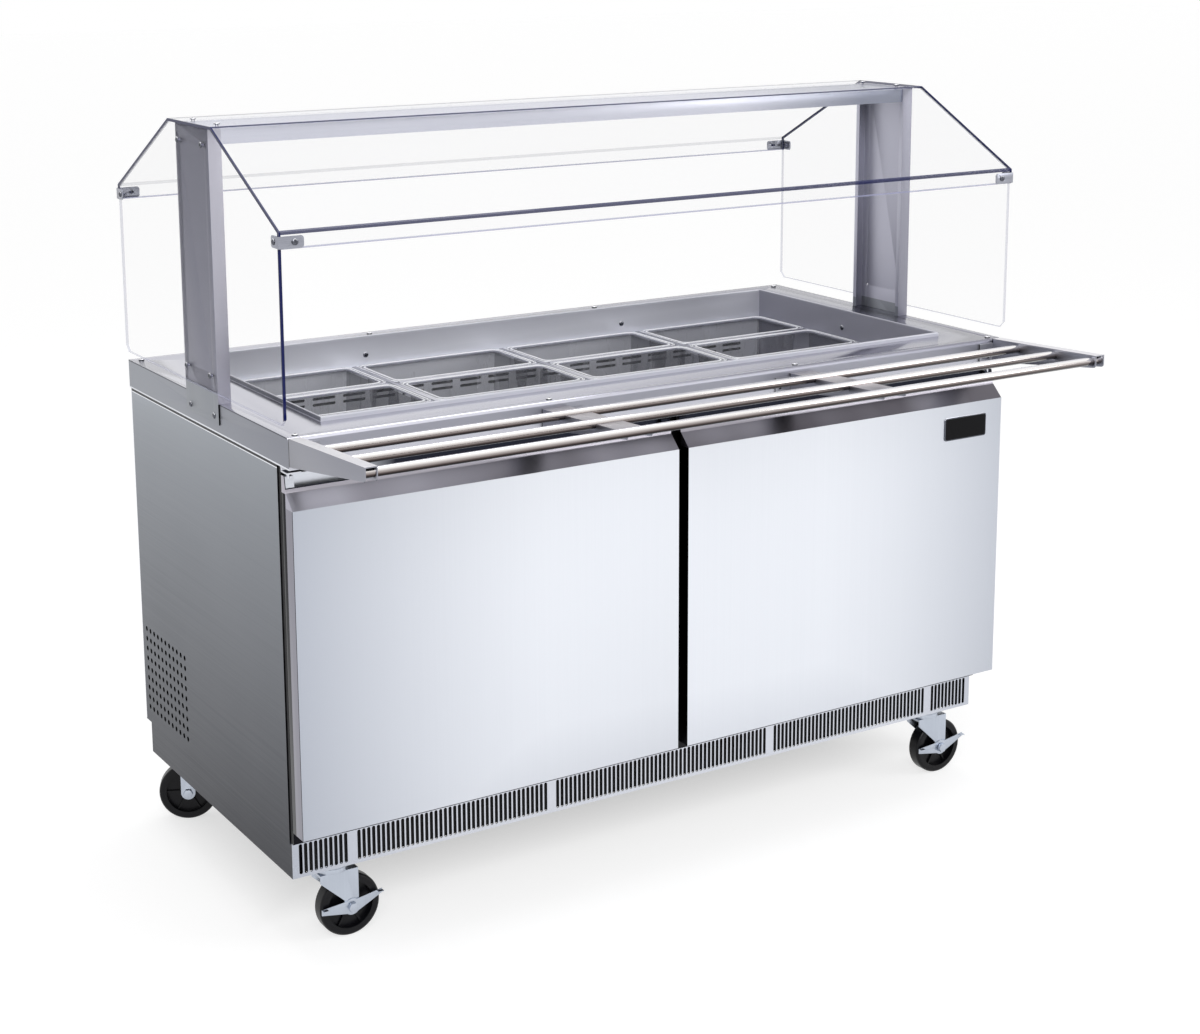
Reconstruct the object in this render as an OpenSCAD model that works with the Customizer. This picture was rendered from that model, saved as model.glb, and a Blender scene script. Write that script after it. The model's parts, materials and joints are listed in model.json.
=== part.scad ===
// Mobile refrigerated salad bar with a clear food guard, a tray slide and lift-out pans.
// Millimetres, +Z up. The origin is on the floor, under the middle of the whole footprint.

/* [Counter] */
// Width of the counter top
counter_w = 1535; // [1500:5:1900]
// Depth of the counter top
counter_d = 745; // [735:5:900]
// Height of the counter top above the floor
counter_z = 930; // [900:5:1000]
// Height of the folded edge of the counter top
fascia_h = 54; // [46:1:62]
// Thickness of the folded steel sheets
sheet_t = 2; // [1.5:0.1:2.5]
// Radius of the rounded front nose
nose_r = 8; // [4:1:12]
// Width of the return flange along the lower edge of the fascia
fascia_return = 20; // [12:1:24]

/* [Food well] */
// Length of a food pan, along the counter
pan_l = 325; // [320:1:330]
// Width of a food pan, across the counter
pan_w = 176; // [170:1:178]
// Depth of a food pan
pan_h = 150; // [100:5:155]
// Width of the flat rim of a food pan
pan_rim_w = 11; // [9:1:13]
// Thickness of a pan wall and rim
pan_t = 3; // [2:0.5:4]
// Draft of a pan wall from rim to floor
pan_draft = 11; // [5:1:16]
// Corner radius of a pan
pan_corner_r = 16; // [14:1:24]
// Depth of the pan rims below the counter top
pan_drop = 49.5; // [40:0.5:56]
// Width of a divider bar between pans
bar_w = 10; // [8:1:14]
// Width of the flange of a divider bar that carries the pan rims
bar_flange_w = 24; // [20:1:26]
// Distance from the counter front to the well
well_front = 82; // [76:1:90]
// Distance from the front wall of the well to the first pans
front_ledge = 38.5; // [36:0.5:48]
// Height of the raised lip round the well
lip_h = 8; // [5:1:12]
// Width of the rolled bead on the lip
lip_w = 5; // [4:1:7]
// Length of an air slot in the rear wall of the well
air_slot_l = 50; // [30:1:56]
// Height of an air slot
air_slot_h = 6; // [4:1:8]
// Pitch of the air slots
air_slot_pitch = 66; // [62:1:72]

/* [Cabinet] */
// Height of the underside of the base above the floor
base_z = 143; // [136:1:160]
// Height of the base
base_h = 66; // [60:1:74]
// Inset of the body sides from the counter sides
body_inset = 2.5; // [1:0.5:5]
// Inset of the base sides from the body sides
base_inset = 3; // [2:0.5:6]
// Inset of the base from the back of the body
base_back_inset = 15; // [8:1:24]
// Distance from the counter front to the front edge of the body sides
body_front = 56; // [54:1:60]
// Width of the folded returns of the side panels
side_return = 18; // [12:1:24]
// Thickness of the insulation at the sides and floor
foam_t = 58; // [50:1:62]
// Thickness of the insulation round the machine compartment and at the back
wall_foam_t = 42; // [36:1:46]
// Height of the machine compartment above the base
machine_h = 220; // [216:1:236]
// Depth of the machine compartment
machine_d = 240; // [236:1:260]
// Clear height from the cabinet ceiling to the pan floors
ceiling_gap = 15; // [10:1:20]
// Thickness of the inner lining
liner_t = 2; // [1.5:0.5:3]

/* [Front frame] */
// Thickness of the front frame round the door openings
frame_t = 10; // [8:1:12]
// Half width of the mullion between the openings
mullion_half = 48; // [46:1:56]

/* [Doors] */
// Thickness of a door
door_t = 42; // [38:1:44]
// Height of the door tops below the fascia
door_top_gap = 14; // [10:1:18]
// Height of the door bottoms above the base
door_bottom_gap = 28; // [24:1:34]
// Gap between the two doors
door_gap = 21; // [16:1:28]
// Thickness of a door gasket
gasket_t = 11.7; // [10:0.1:14]
// Width of a door gasket
gasket_w = 22; // [18:1:24]
// Inset of a gasket from the door edge
gasket_inset = 14; // [13:1:16]
// Height of the sloped front edge along the door top
chamfer_h = 25; // [18:1:30]
// Depth of the sloped front edge along the door top
chamfer_d = 26; // [18:1:27]
// Height of the back plate above the sloped edge
back_plate_h = 28; // [20:1:34]
// Depth of the finger groove below the sloped edge
groove_h = 34; // [24:1:40]
// Width of the dark cap at each end of the finger groove
end_cap_w = 16; // [15:1:22]
// Diameter of a hinge pin
pin_d = 6; // [5:0.5:7]
// Inset of a hinge pin from the door edge
pin_inset = 9; // [8:0.5:10]
// Distance of the hinge pins from the door back
pin_back = 7; // [6:0.5:9]
// Length of a hinge pin inside the door
pin_l = 12; // [8:1:16]

/* [Kick grille] */
// Width of a grille slot
slot_w = 6.4; // [4:0.1:7]
// Height of a grille slot
slot_h = 55; // [40:1:58]
// Pitch of the grille slots
slot_pitch = 9.4; // [9:0.1:9.5]
// Plain width between two groups of slots
group_gap = 19; // [12:1:20]

/* [Vents] */
// Diameter of a side vent hole
vent_d = 10; // [6:0.5:12]
// Pitch of the side vent holes
vent_pitch = 20; // [18:0.5:21]

/* [Tray slide] */
// Reach of the tray slide in front of the counter
slide_reach = 282; // [260:1:320]
// Diameter of a tray tube
tube_d = 16; // [14:1:18]
// Width of an end bracket
bracket_w = 22; // [20:1:28]
// Distance from the counter to the first tube
first_tube = 72; // [60:1:80]
// Pitch of the tray tubes
tube_pitch = 99; // [90:1:100]
// Distance of a middle bracket from the middle of the counter
arm_x = 268; // [200:1:340]
// Rise of the brackets from the counter to their front ends
slide_rise = 14; // [8:1:18]
// Height of a bracket at its front end
bracket_tip_h = 24; // [22:1:28]
// Height of a bracket at the counter
bracket_root_h = 48; // [44:1:50]
// Width of a middle bracket
arm_w = 50; // [30:1:60]

/* [Food guard] */
// Height of the flat roof above the counter top
guard_h = 481.5; // [430:0.5:520]
// Height of the front and back bends above the counter top
eave_h = 337; // [300:1:360]
// Height of the upright lips below the bends
eave_lip = 28; // [20:1:36]
// Depth of the flat part of the roof
roof_flat = 198; // [180:1:230]
// Overhang of the guard in front of the counter
guard_front = 7.5; // [0:0.5:12]
// Inset of the guard from the back of the counter
guard_back = 7.5; // [5:0.5:30]
// Thickness of the clear sheets
clear_t = 5; // [4:0.5:6]
// Height of the lower edge of the end panels above the counter
end_panel_gap = 20; // [10:1:30]
// Width of a guard post, across the counter
post_w = 150; // [120:1:180]
// Width of the post flanges
post_flange = 24; // [18:1:30]
// Width of the post return lips
post_return = 10; // [6:1:14]
// Height of the beam under the roof
beam_h = 28; // [22:1:40]
// Length of the tab below the counter top at each post
post_tab = 37; // [30:1:44]
// Length of a corner clip leg along the front
clip_l = 44; // [36:1:52]
// Length of a corner clip leg along the side
clip_side = 30; // [24:1:36]
// Height of a corner clip
clip_h = 20; // [16:1:24]

/* [Casters] */
// Diameter of a caster wheel
wheel_d = 114; // [100:1:118]
// Width of a caster wheel
wheel_w = 30; // [26:1:36]
// Distance of the casters from the sides of the base
caster_side = 88; // [76:1:120]
// Distance of the casters from the front and back of the base
caster_inset = 34; // [34:1:60]
// Trail of a wheel behind its swivel
caster_trail = 28; // [20:1:36]
// Diameter of a caster axle
axle_d = 10; // [8:0.5:12]
// Length of a caster mounting plate, along the counter
plate_l = 92; // [88:1:104]
// Width of a caster mounting plate
plate_w = 64; // [62:1:68]
// Diameter of a swivel race
race_d = 54; // [46:1:54]
// Length of a brake pedal wing from the axle
pedal_l = 58; // [50:1:64]

/* [Machine] */
// Diameter of the compressor shell
compressor_d = 150; // [130:1:170]
// Height of the compressor shell
compressor_h = 178; // [150:1:190]
// Diameter of the condenser fan
fan_d = 176; // [150:1:184]
// Thickness of the condenser coil
coil_t = 40; // [30:1:50]

/* [Shelves] */
// Diameter of a shelf wire
wire_d = 4; // [3:0.5:5]
// Diameter of a shelf frame wire
shelf_wire_d = 7; // [5:0.5:8]
// Pitch of the shelf wires
wire_pitch = 44; // [30:1:60]
// Height of the shelves above the cabinet floor
shelf_z = 226; // [222:1:240]

/* [Hidden] */

// Facets of round forms that other pieces fit
$fn = 48;
// Facets of the corners of blended forms
blend_fn = 24;
// Overrun of every cut past the face that it opens
over = 1;
// Gap between faces of pieces that move past each other
move_gap = 0.3;
// Radial clearance of a running fit
run_fit = 0.08;
// Pans along and across the well
pan_columns = 4;
pan_rows = 3;

// The counter front lies in front of the origin by half the whole depth
front_y = (slide_reach - counter_d) / 2;
half_w = counter_w / 2;
body_top = counter_z - fascia_h;
body_half = half_w - body_inset;
inner_half = body_half - sheet_t;
base_half = body_half - base_inset;
base_top = base_z + base_h;
body_back = counter_d - sheet_t;
base_back = body_back - base_back_inset;
foam_front = body_front + sheet_t;
foam_back = body_back - sheet_t;
frame_front = body_front - frame_t;

// Food well, from the pans outwards
pan_side_gap = 4;
pan_edge_gap = 0.3;
well_half = (pan_columns * pan_l + (pan_columns - 1) * bar_w) / 2 + pan_side_gap;
well_y0 = well_front + sheet_t;
pan_pitch_x = pan_l + bar_w;
pan_pitch_y = pan_w + bar_w;
pan_back_gap = 4.5;
pans_depth = pan_rows * pan_w + (pan_rows - 1) * bar_w;
pans_y0 = well_y0 + front_ledge;
well_y1 = pans_y0 + pans_depth + pan_back_gap;
rim_top = counter_z - pan_drop;
rim_bottom = rim_top - pan_t;
pan_floor = rim_top - pan_h;
ceiling_z = pan_floor - ceiling_gap;
ledge_w = pan_side_gap + pan_rim_w - pan_t;
bar_t = 3;

// Cabinet cavity
cavity_half = inner_half - foam_t;
cavity_floor = base_top + foam_t;
machine_top = base_top + machine_h;
machine_y = foam_back - machine_d;
step_z = machine_top + wall_foam_t;
step_y = machine_y - wall_foam_t;
cavity_back = foam_back - wall_foam_t;

// Doors
door_front = frame_front - move_gap - gasket_t - door_t;
door_back = door_front + door_t;
door_z0 = base_top + door_bottom_gap;
door_z1 = body_top - door_top_gap;
door_w = half_w - door_gap / 2;
skin_t = 1.5;
chamfer_top = door_z1 - back_plate_h;
face_top = chamfer_top - chamfer_h;
lip_y = door_front + chamfer_d;
strip_y = lip_y + (door_back - lip_y) / 3;
groove_floor = chamfer_top - groove_h;
pin_y = door_back - pin_back;
hinge_plate_t = 3;
hinge_plate_w = 26;
hinge_gap = 2;
open_x0 = cavity_half - liner_t;
open_z0 = door_z0 + gasket_inset + gasket_w;
open_z1 = ceiling_z - liner_t;
corner_r = 12;
board_joint = 0.4;

// Guard
guard_half = (counter_d + guard_front - guard_back) / 2;
guard_mid = (counter_d - guard_front - guard_back) / 2;
roof_top = counter_z + guard_h;
eave_z = counter_z + eave_h;
post_web_t = 2.5;
post_x = half_w + post_web_t;
guard_x = post_x + clear_t;
screw_head_d = 11;
screw_crown_d = 6;
screw_rim_h = 1.2;
screw_crown_h = 1.8;
screw_shank_d = 5;
screw_hole_d = 5.4;

// Casters
caster_x = base_half - caster_side;
mount_rise = 12;
mount_z = base_z + mount_rise;
plate_t = 4;
wheel_r = wheel_d / 2;
fork_t = 3;
wheel_gap = 2;
crown_gap = 8;
fork_gap = wheel_w + 2 * wheel_gap;
fork_half = fork_gap / 2 + fork_t;
crown_t = 5;
crown_z = wheel_d + crown_gap;
kingpin_d = 12;
caster_y0 = body_front + caster_inset;
caster_y1 = base_back - caster_inset;

// Base and casters
base_flange = 30;
member_t = 3;
bolt_d = 8;
bolt_hole_d = 8.6;
bolt_head_d = 13;
bolt_head_h = 5;
bolt_x = plate_l / 2 - bolt_head_d * 3 / 4;
bolt_y = plate_w / 2 - bolt_head_d * 3 / 4;
plate_bolts = [for (x = [-1, 1]) for (y = [-1, 1]) [x * bolt_x, y * bolt_y]];
lower_race_h = 9;
nut_d = 20;
nut_h = 4;
nut_gap = 0.3;
crown_back = 30;
lever_gap = 2.4;
axle_head_d = 19;
axle_head_h = 7;
rim_share = 0.8;
leg_share = 1.4;
hub_share = 1.35;
boss_share = 1.5;
wing_share = 0.8;
wheel_ribs = 6;
pedal_rise = 20;
pedal_tab = 8;
// Side along X, front or back, and turn of the swivel of each caster
caster_places = [[-1, 0, 0], [1, 0, 0], [-1, 1, 155], [1, 1, 25]];

// Grilles and vents
slot_groups = [10, 41, 51, 41, 10];
slot_low = 6;
grille_hem = 6;
vent_columns = 11;
vent_rows = 9;
rear_columns = 7;
rear_rows = 9;
rear_slot_l = 150;
rear_slot_h = 8;
rear_pitch_x = 190;
rear_pitch_z = 20;
back_screw_low = 20;

// Well and pans
slice = 0.5;
air_slots = 19;
air_slot_drop = 56;
air_slot_step = 12;

// Machine compartment and coils
tray_t = 3;
tray_gap = 6;
foot_d = 22;
foot_h = 12;
dome_share = 0.6;
foot_share = 0.8;
terminal_w = 22;
coil_gap = 14;
coil_fins = 16;
coil_passes = 4;
coil_tube_d = 9;
fin_t = 1.2;
shroud_d = 40;
fan_gap = 6;
fan_blades = 5;
blade_w = 46;
blade_pitch = 28;
hub_d = 44;
hub_l = 22;
shaft_d = 6;
shaft_l = 46;
motor_d = 74;
motor_l = 60;
coil_x = -inner_half + coil_gap;
fan_x = coil_x + coil_t + shroud_d / 4;
motor_x = fan_x + shaft_l;
compressor_x = motor_x + motor_l + 2 * terminal_w + compressor_d;
tray_x0 = coil_x - tray_gap;
tray_x1 = compressor_x + compressor_d / 2 + 2 * terminal_w;
machine_mid_y = machine_y + machine_d / 2;
coil_z0 = base_top + tray_t;
coil_z1 = machine_top - tray_gap;
fan_z = (coil_z0 + coil_z1) / 2;
evap_l = 620;
evap_d = 120;
evap_low = 14;
evap_fins = 24;
evap_rows = 3;
evap_banks = 2;

// Shelves
shelf_gap = 10;
clip_w = 14;
clip_gap = 0.3;
strip_above = 40;

// Door details
lip_fold = 12;
dyke_t = 8;

// Guard and screws
panel_chamfer = 12;
clip_share = 0.6;
clip_z = eave_z - eave_lip * clip_share;
screw_side_inset = 19.5;
screw_inset = 17;
well_screw_x = 303;
well_screw_drop = 31;
post_screw_y = 54.5;
post_screw_low = 23;
post_screw_z = 48;
roof_screw_drop = 34;
flange_w = 34;
tube_wall = 1.5;
tubes = 3;

// Half depth and height of the inner corners of the bent roof sheet
roof_slope = atan2(guard_h - eave_h, guard_half - roof_flat / 2);
eave_inner = [guard_half - clear_t,
  eave_z - clear_t * cos(roof_slope) + clear_t * (1 - sin(roof_slope)) * tan(roof_slope)];
ridge_inner = [guard_half - clear_t * sin(roof_slope)
  - (guard_h - eave_h - clear_t * (1 - cos(roof_slope))) / tan(roof_slope), roof_top - clear_t];

// Places the pieces so that the origin lies under the middle of the footprint
module placed() {
  translate([0, front_y, 0]) children();
}

// A block between two corners
module block(x, y, z) {
  translate([x[0], y[0], z[0]]) cube([x[1] - x[0], y[1] - y[0], z[1] - z[0]]);
}

// Draws an outline of depth and height along the width
module along_x(x) {
  translate([x[0], 0, 0]) rotate([90, 0, 90]) linear_extrude(height = x[1] - x[0]) children();
}

// Draws an outline of width and height along the depth
module along_y(y) {
  translate([0, y[1], 0]) rotate([90, 0, 0]) linear_extrude(height = y[1] - y[0]) children();
}

// Draws an outline of width and depth upwards
module along_z(z) {
  translate([0, 0, z[0]]) linear_extrude(height = z[1] - z[0]) children();
}

module both_sides() {
  children();
  mirror([1, 0, 0]) children();
}

// Points of an arc round a centre, from one angle to another
function arc(c, r, a0, a1, steps = 8) =
  [for (i = [0 : steps]) let (a = a0 + (a1 - a0) * i / steps) [c[0] + r * cos(a), c[1] + r * sin(a)]];

// A low domed screw, seated at the origin, with its shank pointing down
module dome_screw(depth) {
  translate([0, 0, -depth]) cylinder(d = screw_shank_d, h = depth);
  cylinder(d = screw_head_d, h = screw_rim_h);
  translate([0, 0, screw_rim_h]) cylinder(d1 = screw_head_d, d2 = screw_crown_d, h = screw_crown_h);
}

// The clearance hole of a dome screw
module screw_hole(depth) {
  translate([0, 0, -depth - over]) cylinder(d = screw_hole_d, h = depth + 2 * over);
}

// Places of the dome screws of the left half, each pointing out of its sheet
module counter_screws() {
  for (x = [half_w - screw_side_inset, arm_x]) for (y = [screw_inset, counter_d - screw_inset])
    translate([-x, y, counter_z]) children();
}

module well_screws() {
  z = counter_z - well_screw_drop;
  translate([-well_screw_x, well_y1, z]) rotate([90, 0, 0]) children();
  translate([-well_half, (well_y0 + well_y1) / 2, z]) rotate([0, 90, 0]) children();
}

module tab_screws() {
  for (t = [-1, 1]) translate([-post_x, guard_mid + t * post_screw_y, counter_z - post_screw_low])
    rotate([0, -90, 0]) children();
}

module panel_screws() {
  for (t = [-1, 1]) for (z = [counter_z + post_screw_z, roof_top - roof_screw_drop])
    translate([-guard_x, guard_mid + t * post_screw_y, z]) rotate([0, -90, 0]) children();
}

module roof_screws() {
  for (t = [-1, 1]) translate([-half_w + post_screw_low, guard_mid + t * post_screw_y, roof_top]) children();
}

module clip_front_screws() {
  x = -guard_x + clip_l * clip_share;
  for (t = [-1, 1]) translate([x, guard_mid + t * (guard_half + sheet_t), clip_z])
    rotate([-t * 90, 0, 0]) children();
}

module clip_side_screws() {
  reach = guard_half - clip_side * clip_share;
  for (t = [-1, 1]) translate([-guard_x - sheet_t, guard_mid + t * reach, clip_z])
    rotate([0, -90, 0]) children();
}

// An outline of a rectangle with rounded corners, between two corners
module soft_rect(x, y, r) {
  translate([x[0] + r, y[0]]) square([x[1] - x[0] - 2 * r, y[1] - y[0]]);
  translate([x[0], y[0] + r]) square([x[1] - x[0], y[1] - y[0] - 2 * r]);
  for (cx = [x[0] + r, x[1] - r]) for (cy = [y[0] + r, y[1] - r]) translate([cx, cy]) circle(r);
}

// An outline of a slot with round ends, standing or lying
module slot_outline(w, h) {
  r = min(w, h) / 2;
  reach = w > h ? [w / 2 - r, 0] : [0, h / 2 - r];
  square(w > h ? [w - 2 * r, h] : [w, h - 2 * r], center = true);
  for (s = [-1, 1]) translate(s * reach) circle(r);
}

// Sheet frame of the base, with the two cross members that carry the casters
module base_frame() placed() color("slategray") {
  skirt_y = [body_front, base_back];
  both_sides() {
    block([base_half - sheet_t, base_half], skirt_y, [base_z, base_top - sheet_t]);
    block([base_half - base_flange, base_half - sheet_t], skirt_y, [base_z, base_z + sheet_t]);
  }
  skirt_half = base_half - sheet_t;
  block([-skirt_half, skirt_half], [base_back - sheet_t, base_back], [base_z, base_top - sheet_t]);
  block([-body_half, body_half], [body_front, counter_d], [base_top - sheet_t, base_top]);
  for (y = [caster_y0, caster_y1]) cross_member(y);
}

module cross_member(y) {
  half = base_half - sheet_t;
  y0 = y - plate_w / 2;
  y1 = y + plate_w / 2;
  difference() {
    block([-half, half], [y0, y1], [mount_z, mount_z + member_t]);
    for (x = [-caster_x, caster_x]) for (b = plate_bolts) {
      translate([x + b[0], y + b[1], mount_z - over]) cylinder(d = bolt_hole_d, h = member_t + 2 * over);
    }
  }
  top = base_top - sheet_t;
  block([-half, half], [y0, y0 + member_t], [mount_z + member_t, top]);
  block([-half, half], [y1 - member_t, y1], [mount_z + member_t, top]);
}

// A side panel folded at its front and back, with its field of vent holes
module side_panel() {
  web = [-body_half, -inner_half];
  lip = [-body_half, -inner_half + side_return];
  z = [base_top, body_top];
  difference() {
    union() {
      block(web, [body_front, body_back], z);
      block(lip, [body_front, body_front + sheet_t], z);
      block(lip, [body_back - sheet_t, body_back], z);
    }
    for (i = [0 : vent_columns - 1]) for (j = [0 : vent_rows - 1]) {
      y = machine_y + machine_d / 2 + (i - (vent_columns - 1) / 2) * vent_pitch;
      h = base_top + machine_h / 2 + (j - (vent_rows - 1) / 2) * vent_pitch;
      translate([-body_half - over, y, h]) rotate([0, 90, 0]) cylinder(d = vent_d, h = sheet_t + 2 * over);
    }
  }
}

module side_panel_left() placed() color("gray") side_panel();

module side_panel_right() placed() color("gray") mirror([1, 0, 0]) side_panel();

// The slotted air grille below the doors, in groups of slots
module kick_grille() placed() color("silver") {
  front = body_front - sheet_t;
  mid_z = base_z + slot_low + slot_h / 2;
  along_y([front, body_front]) difference() {
    translate([-base_half, base_z]) square([2 * base_half, base_h]);
    for (g = [0 : len(slot_groups) - 1]) for (i = [0 : slot_groups[g] - 1]) {
      x = group_x(g) + (i - (slot_groups[g] - 1) / 2) * slot_pitch;
      translate([x, mid_z]) slot_outline(slot_w, slot_h);
    }
  }
  hem_half = base_half - base_flange;
  block([-hem_half, hem_half], [body_front, body_front + grille_hem], [base_z, base_z + sheet_t]);
}

// Width of a group of slots, width up to and with a group, and the middle of a group
function group_w(g) = (slot_groups[g] - 1) * slot_pitch + slot_w;
function groups_to(g) = g < 0 ? -group_gap : groups_to(g - 1) + group_gap + group_w(g);
function group_x(g) = groups_to(g) - group_w(g) / 2 - groups_to(len(slot_groups) - 1) / 2;

module back_panel() placed() color("silver") {
  difference() {
    block([-body_half, body_half], [body_back, counter_d], [machine_top, body_top]);
    for (x = [-1, 1]) translate([x * half_w / 2, body_back - over, machine_top + back_screw_low])
      rotate([-90, 0, 0]) cylinder(d = screw_shank_d, h = sheet_t + 2 * over);
  }
}

// The lift-off grille of the machine compartment, with rows of air slots
module rear_grille() placed() color("silver") {
  along_y([body_back, counter_d]) difference() {
    translate([-body_half, base_top]) square([2 * body_half, machine_h]);
    for (c = [0 : rear_columns - 1]) for (r = [0 : rear_rows - 1]) {
      x = (c - (rear_columns - 1) / 2) * rear_pitch_x;
      z = base_top + machine_h / 2 + (r - (rear_rows - 1) / 2) * rear_pitch_z;
      translate([x, z]) slot_outline(rear_slot_l, rear_slot_h);
    }
  }
}

// The insulation, boards round the cabinet, the well and the machine compartment
module foam_core() placed() color("khaki") {
  wide = [-inner_half, inner_half];
  well_back = well_y1 + sheet_t;
  insulation_board(wide, [foam_front, machine_y], [base_top, cavity_floor]);
  insulation_board(wide, [step_y, machine_y], [cavity_floor, step_z]);
  insulation_board(wide, [machine_y, foam_back], [machine_top, step_z]);
  insulation_board([-cavity_half, cavity_half], [cavity_back, foam_back], [step_z, ceiling_z]);
  insulation_board(wide, [foam_front, well_front], [ceiling_z, body_top]);
  insulation_board(wide, [well_back, foam_back], [ceiling_z, body_top]);
  both_sides() {
    insulation_board([cavity_half, inner_half], [foam_front, step_y], [cavity_floor, step_z]);
    insulation_board([cavity_half, inner_half], [foam_front, foam_back], [step_z, ceiling_z]);
    insulation_board([well_half + sheet_t, inner_half], [well_front, well_back], [ceiling_z, body_top]);
  }
}

// A board set in from its neighbours by half a joint
module insulation_board(x, y, z) {
  j = board_joint / 2;
  block([x[0] + j, x[1] - j], [y[0] + j, y[1] - j], [z[0] + j, z[1] - j]);
}

// The inner lining of the cabinet, open to the doors and to the well
module cabinet_liner() placed() color("whitesmoke") {
  lt = liner_t;
  difference() {
    along_x([-cavity_half, cavity_half]) polygon([
      [body_front, cavity_floor], [step_y, cavity_floor], [step_y, step_z], [cavity_back, step_z],
      [cavity_back, ceiling_z], [body_front, ceiling_z]
    ]);
    along_x([-cavity_half + lt, cavity_half - lt]) polygon([
      [body_front - over, cavity_floor + lt], [step_y - lt, cavity_floor + lt],
      [step_y - lt, step_z + lt], [cavity_back - lt, step_z + lt],
      [cavity_back - lt, ceiling_z - lt], [body_front - over, ceiling_z - lt]
    ]);
    block([-well_half - sheet_t, well_half + sheet_t], [well_front, well_y1 + sheet_t],
      [ceiling_z - lt - over, ceiling_z + over]);
  }
}

// The dark front frame with its mullion, which the gaskets close against
module front_frame() placed() color("dimgray") {
  along_y([frame_front, body_front]) difference() {
    translate([-inner_half, base_top]) square([2 * inner_half, body_top - base_top]);
    soft_rect([-open_x0, -mullion_half], [open_z0, open_z1], corner_r);
    soft_rect([mullion_half, open_x0], [open_z0, open_z1], corner_r);
  }
}

// The folded counter top with its rounded front nose and hemmed skirts
module counter_top() placed() color("gainsboro") {
  t = sheet_t;
  difference() {
    along_x([-half_w, half_w]) polygon(concat(
      [[0, body_top]], arc([nose_r, counter_z - nose_r], nose_r, 180, 90),
      [[counter_d, counter_z], [counter_d, body_top]]
    ));
    along_x([-half_w + t, half_w - t]) polygon(concat(
      [[t, body_top - over]], arc([nose_r, counter_z - nose_r], nose_r - t, 180, 90),
      [[counter_d - t, counter_z - t], [counter_d - t, body_top - over]]
    ));
    block([-well_half - t, well_half + t], [well_front, well_y1 + t], [counter_z - 2 * t, counter_z + over]);
    both_sides() {
      counter_screws() screw_hole(t);
      tab_screws() screw_hole(post_web_t + t);
    }
  }
  difference() {
    block([-half_w + t, half_w - t], [t, counter_d - t], [body_top, body_top + t]);
    block([-half_w + fascia_return, half_w - fascia_return], [fascia_return, counter_d - fascia_return],
      [body_top - over, body_top + t + over]);
  }
}

// The walls of the food well, their raised bead and the ledge that carries the pans
module well_liner() placed() color("silver") {
  t = sheet_t;
  bottom = ceiling_z - liner_t;
  bead_r = lip_w / 2;
  bead_top = counter_z + lip_h - bead_r;
  x = well_half;
  slot_z = rim_bottom - air_slot_drop;
  difference() {
    block([-x - t, x + t], [well_y0 - t, well_y1 + t], [bottom, bead_top]);
    block([-x, x], [well_y0, well_y1], [bottom - over, bead_top + over]);
    for (i = [0 : air_slots - 1]) for (j = [0, 1])
      translate([(i - (air_slots - 1) / 2) * air_slot_pitch, well_y1 - over, slot_z - j * air_slot_step])
        along_y([0, t + 2 * over]) slot_outline(air_slot_l, air_slot_h);
    both_sides() well_screws() screw_hole(t);
  }
  difference() {
    block([-x, x], [well_y0, well_y1], [rim_bottom - t, rim_bottom]);
    block([-x + ledge_w, x - ledge_w], [pans_y0 + pan_rim_w - pan_t, well_y1 - ledge_w],
      [rim_bottom - t - over, rim_bottom + over]);
  }
  bead_x = x + lip_w - bead_r;
  bead_y = [well_y0 - lip_w + bead_r, well_y1 + lip_w - bead_r];
  difference() {
    block([-x - lip_w, x + lip_w], [well_y0 - lip_w, well_y1 + lip_w], [counter_z, bead_top]);
    block([-x - t, x + t], [well_y0 - t, well_y1 + t], [counter_z - over, bead_top + over]);
  }
  for (s = [-1, 1]) translate([s * bead_x, bead_y[0], bead_top])
    rotate([-90, 0, 0]) cylinder(r = bead_r, h = bead_y[1] - bead_y[0]);
  for (y = bead_y) translate([-bead_x, y, bead_top]) rotate([0, 90, 0]) cylinder(r = bead_r, h = 2 * bead_x);
  for (s = [-1, 1]) for (y = bead_y) translate([s * bead_x, y, bead_top]) sphere(r = bead_r);
}

// The outline of a divider bar, an upstand between the rims on a flange under them
module bar_outline() {
  up = bar_w / 2 - pan_edge_gap;
  translate([-bar_flange_w / 2, rim_bottom - bar_t]) square([bar_flange_w, bar_t]);
  translate([-up, rim_bottom - bar_t]) square([2 * up, bar_t + pan_t]);
}

// Long bars between the columns of pans and short bars between the rows
module divider_bars() placed() color("silver") {
  half = bar_w / 2;
  y0 = pans_y0 + pan_rim_w - pan_t;
  y1 = well_y1 - ledge_w;
  for (c = [1 : pan_columns - 1]) translate([column_x(c) - pan_l / 2 - half, 0, 0])
    along_y([y0, y1]) bar_outline();
  for (r = [1 : pan_rows - 1]) for (c = [0 : pan_columns - 1]) {
    flange = bar_flange_w / 2 - half + pan_edge_gap;
    x0 = c == 0 ? -well_half + ledge_w : column_x(c) - pan_l / 2 + flange;
    x1 = c == pan_columns - 1 ? well_half - ledge_w : column_x(c) + pan_l / 2 - flange;
    translate([0, row_y(r) + pan_w / 2 + half, 0]) along_x([x0, x1]) bar_outline();
  }
}

function column_x(c) = (c - (pan_columns - 1) / 2) * pan_pitch_x;
function row_y(r) = pans_y0 + pans_depth - pan_w / 2 - r * pan_pitch_y;

// A solid that narrows downwards, between two heights, with rounded corners
module tapered(l0, w0, z0, l1, w1, z1, r) {
  hull() {
    for (s = [-1, 1]) for (t = [-1, 1]) {
      translate([s * (l0 / 2 - r), t * (w0 / 2 - r), z0]) cylinder(r = r, h = slice, $fn = blend_fn);
      translate([s * (l1 / 2 - r), t * (w1 / 2 - r), z1 - slice]) cylinder(r = r, h = slice, $fn = blend_fn);
    }
  }
}

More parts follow.
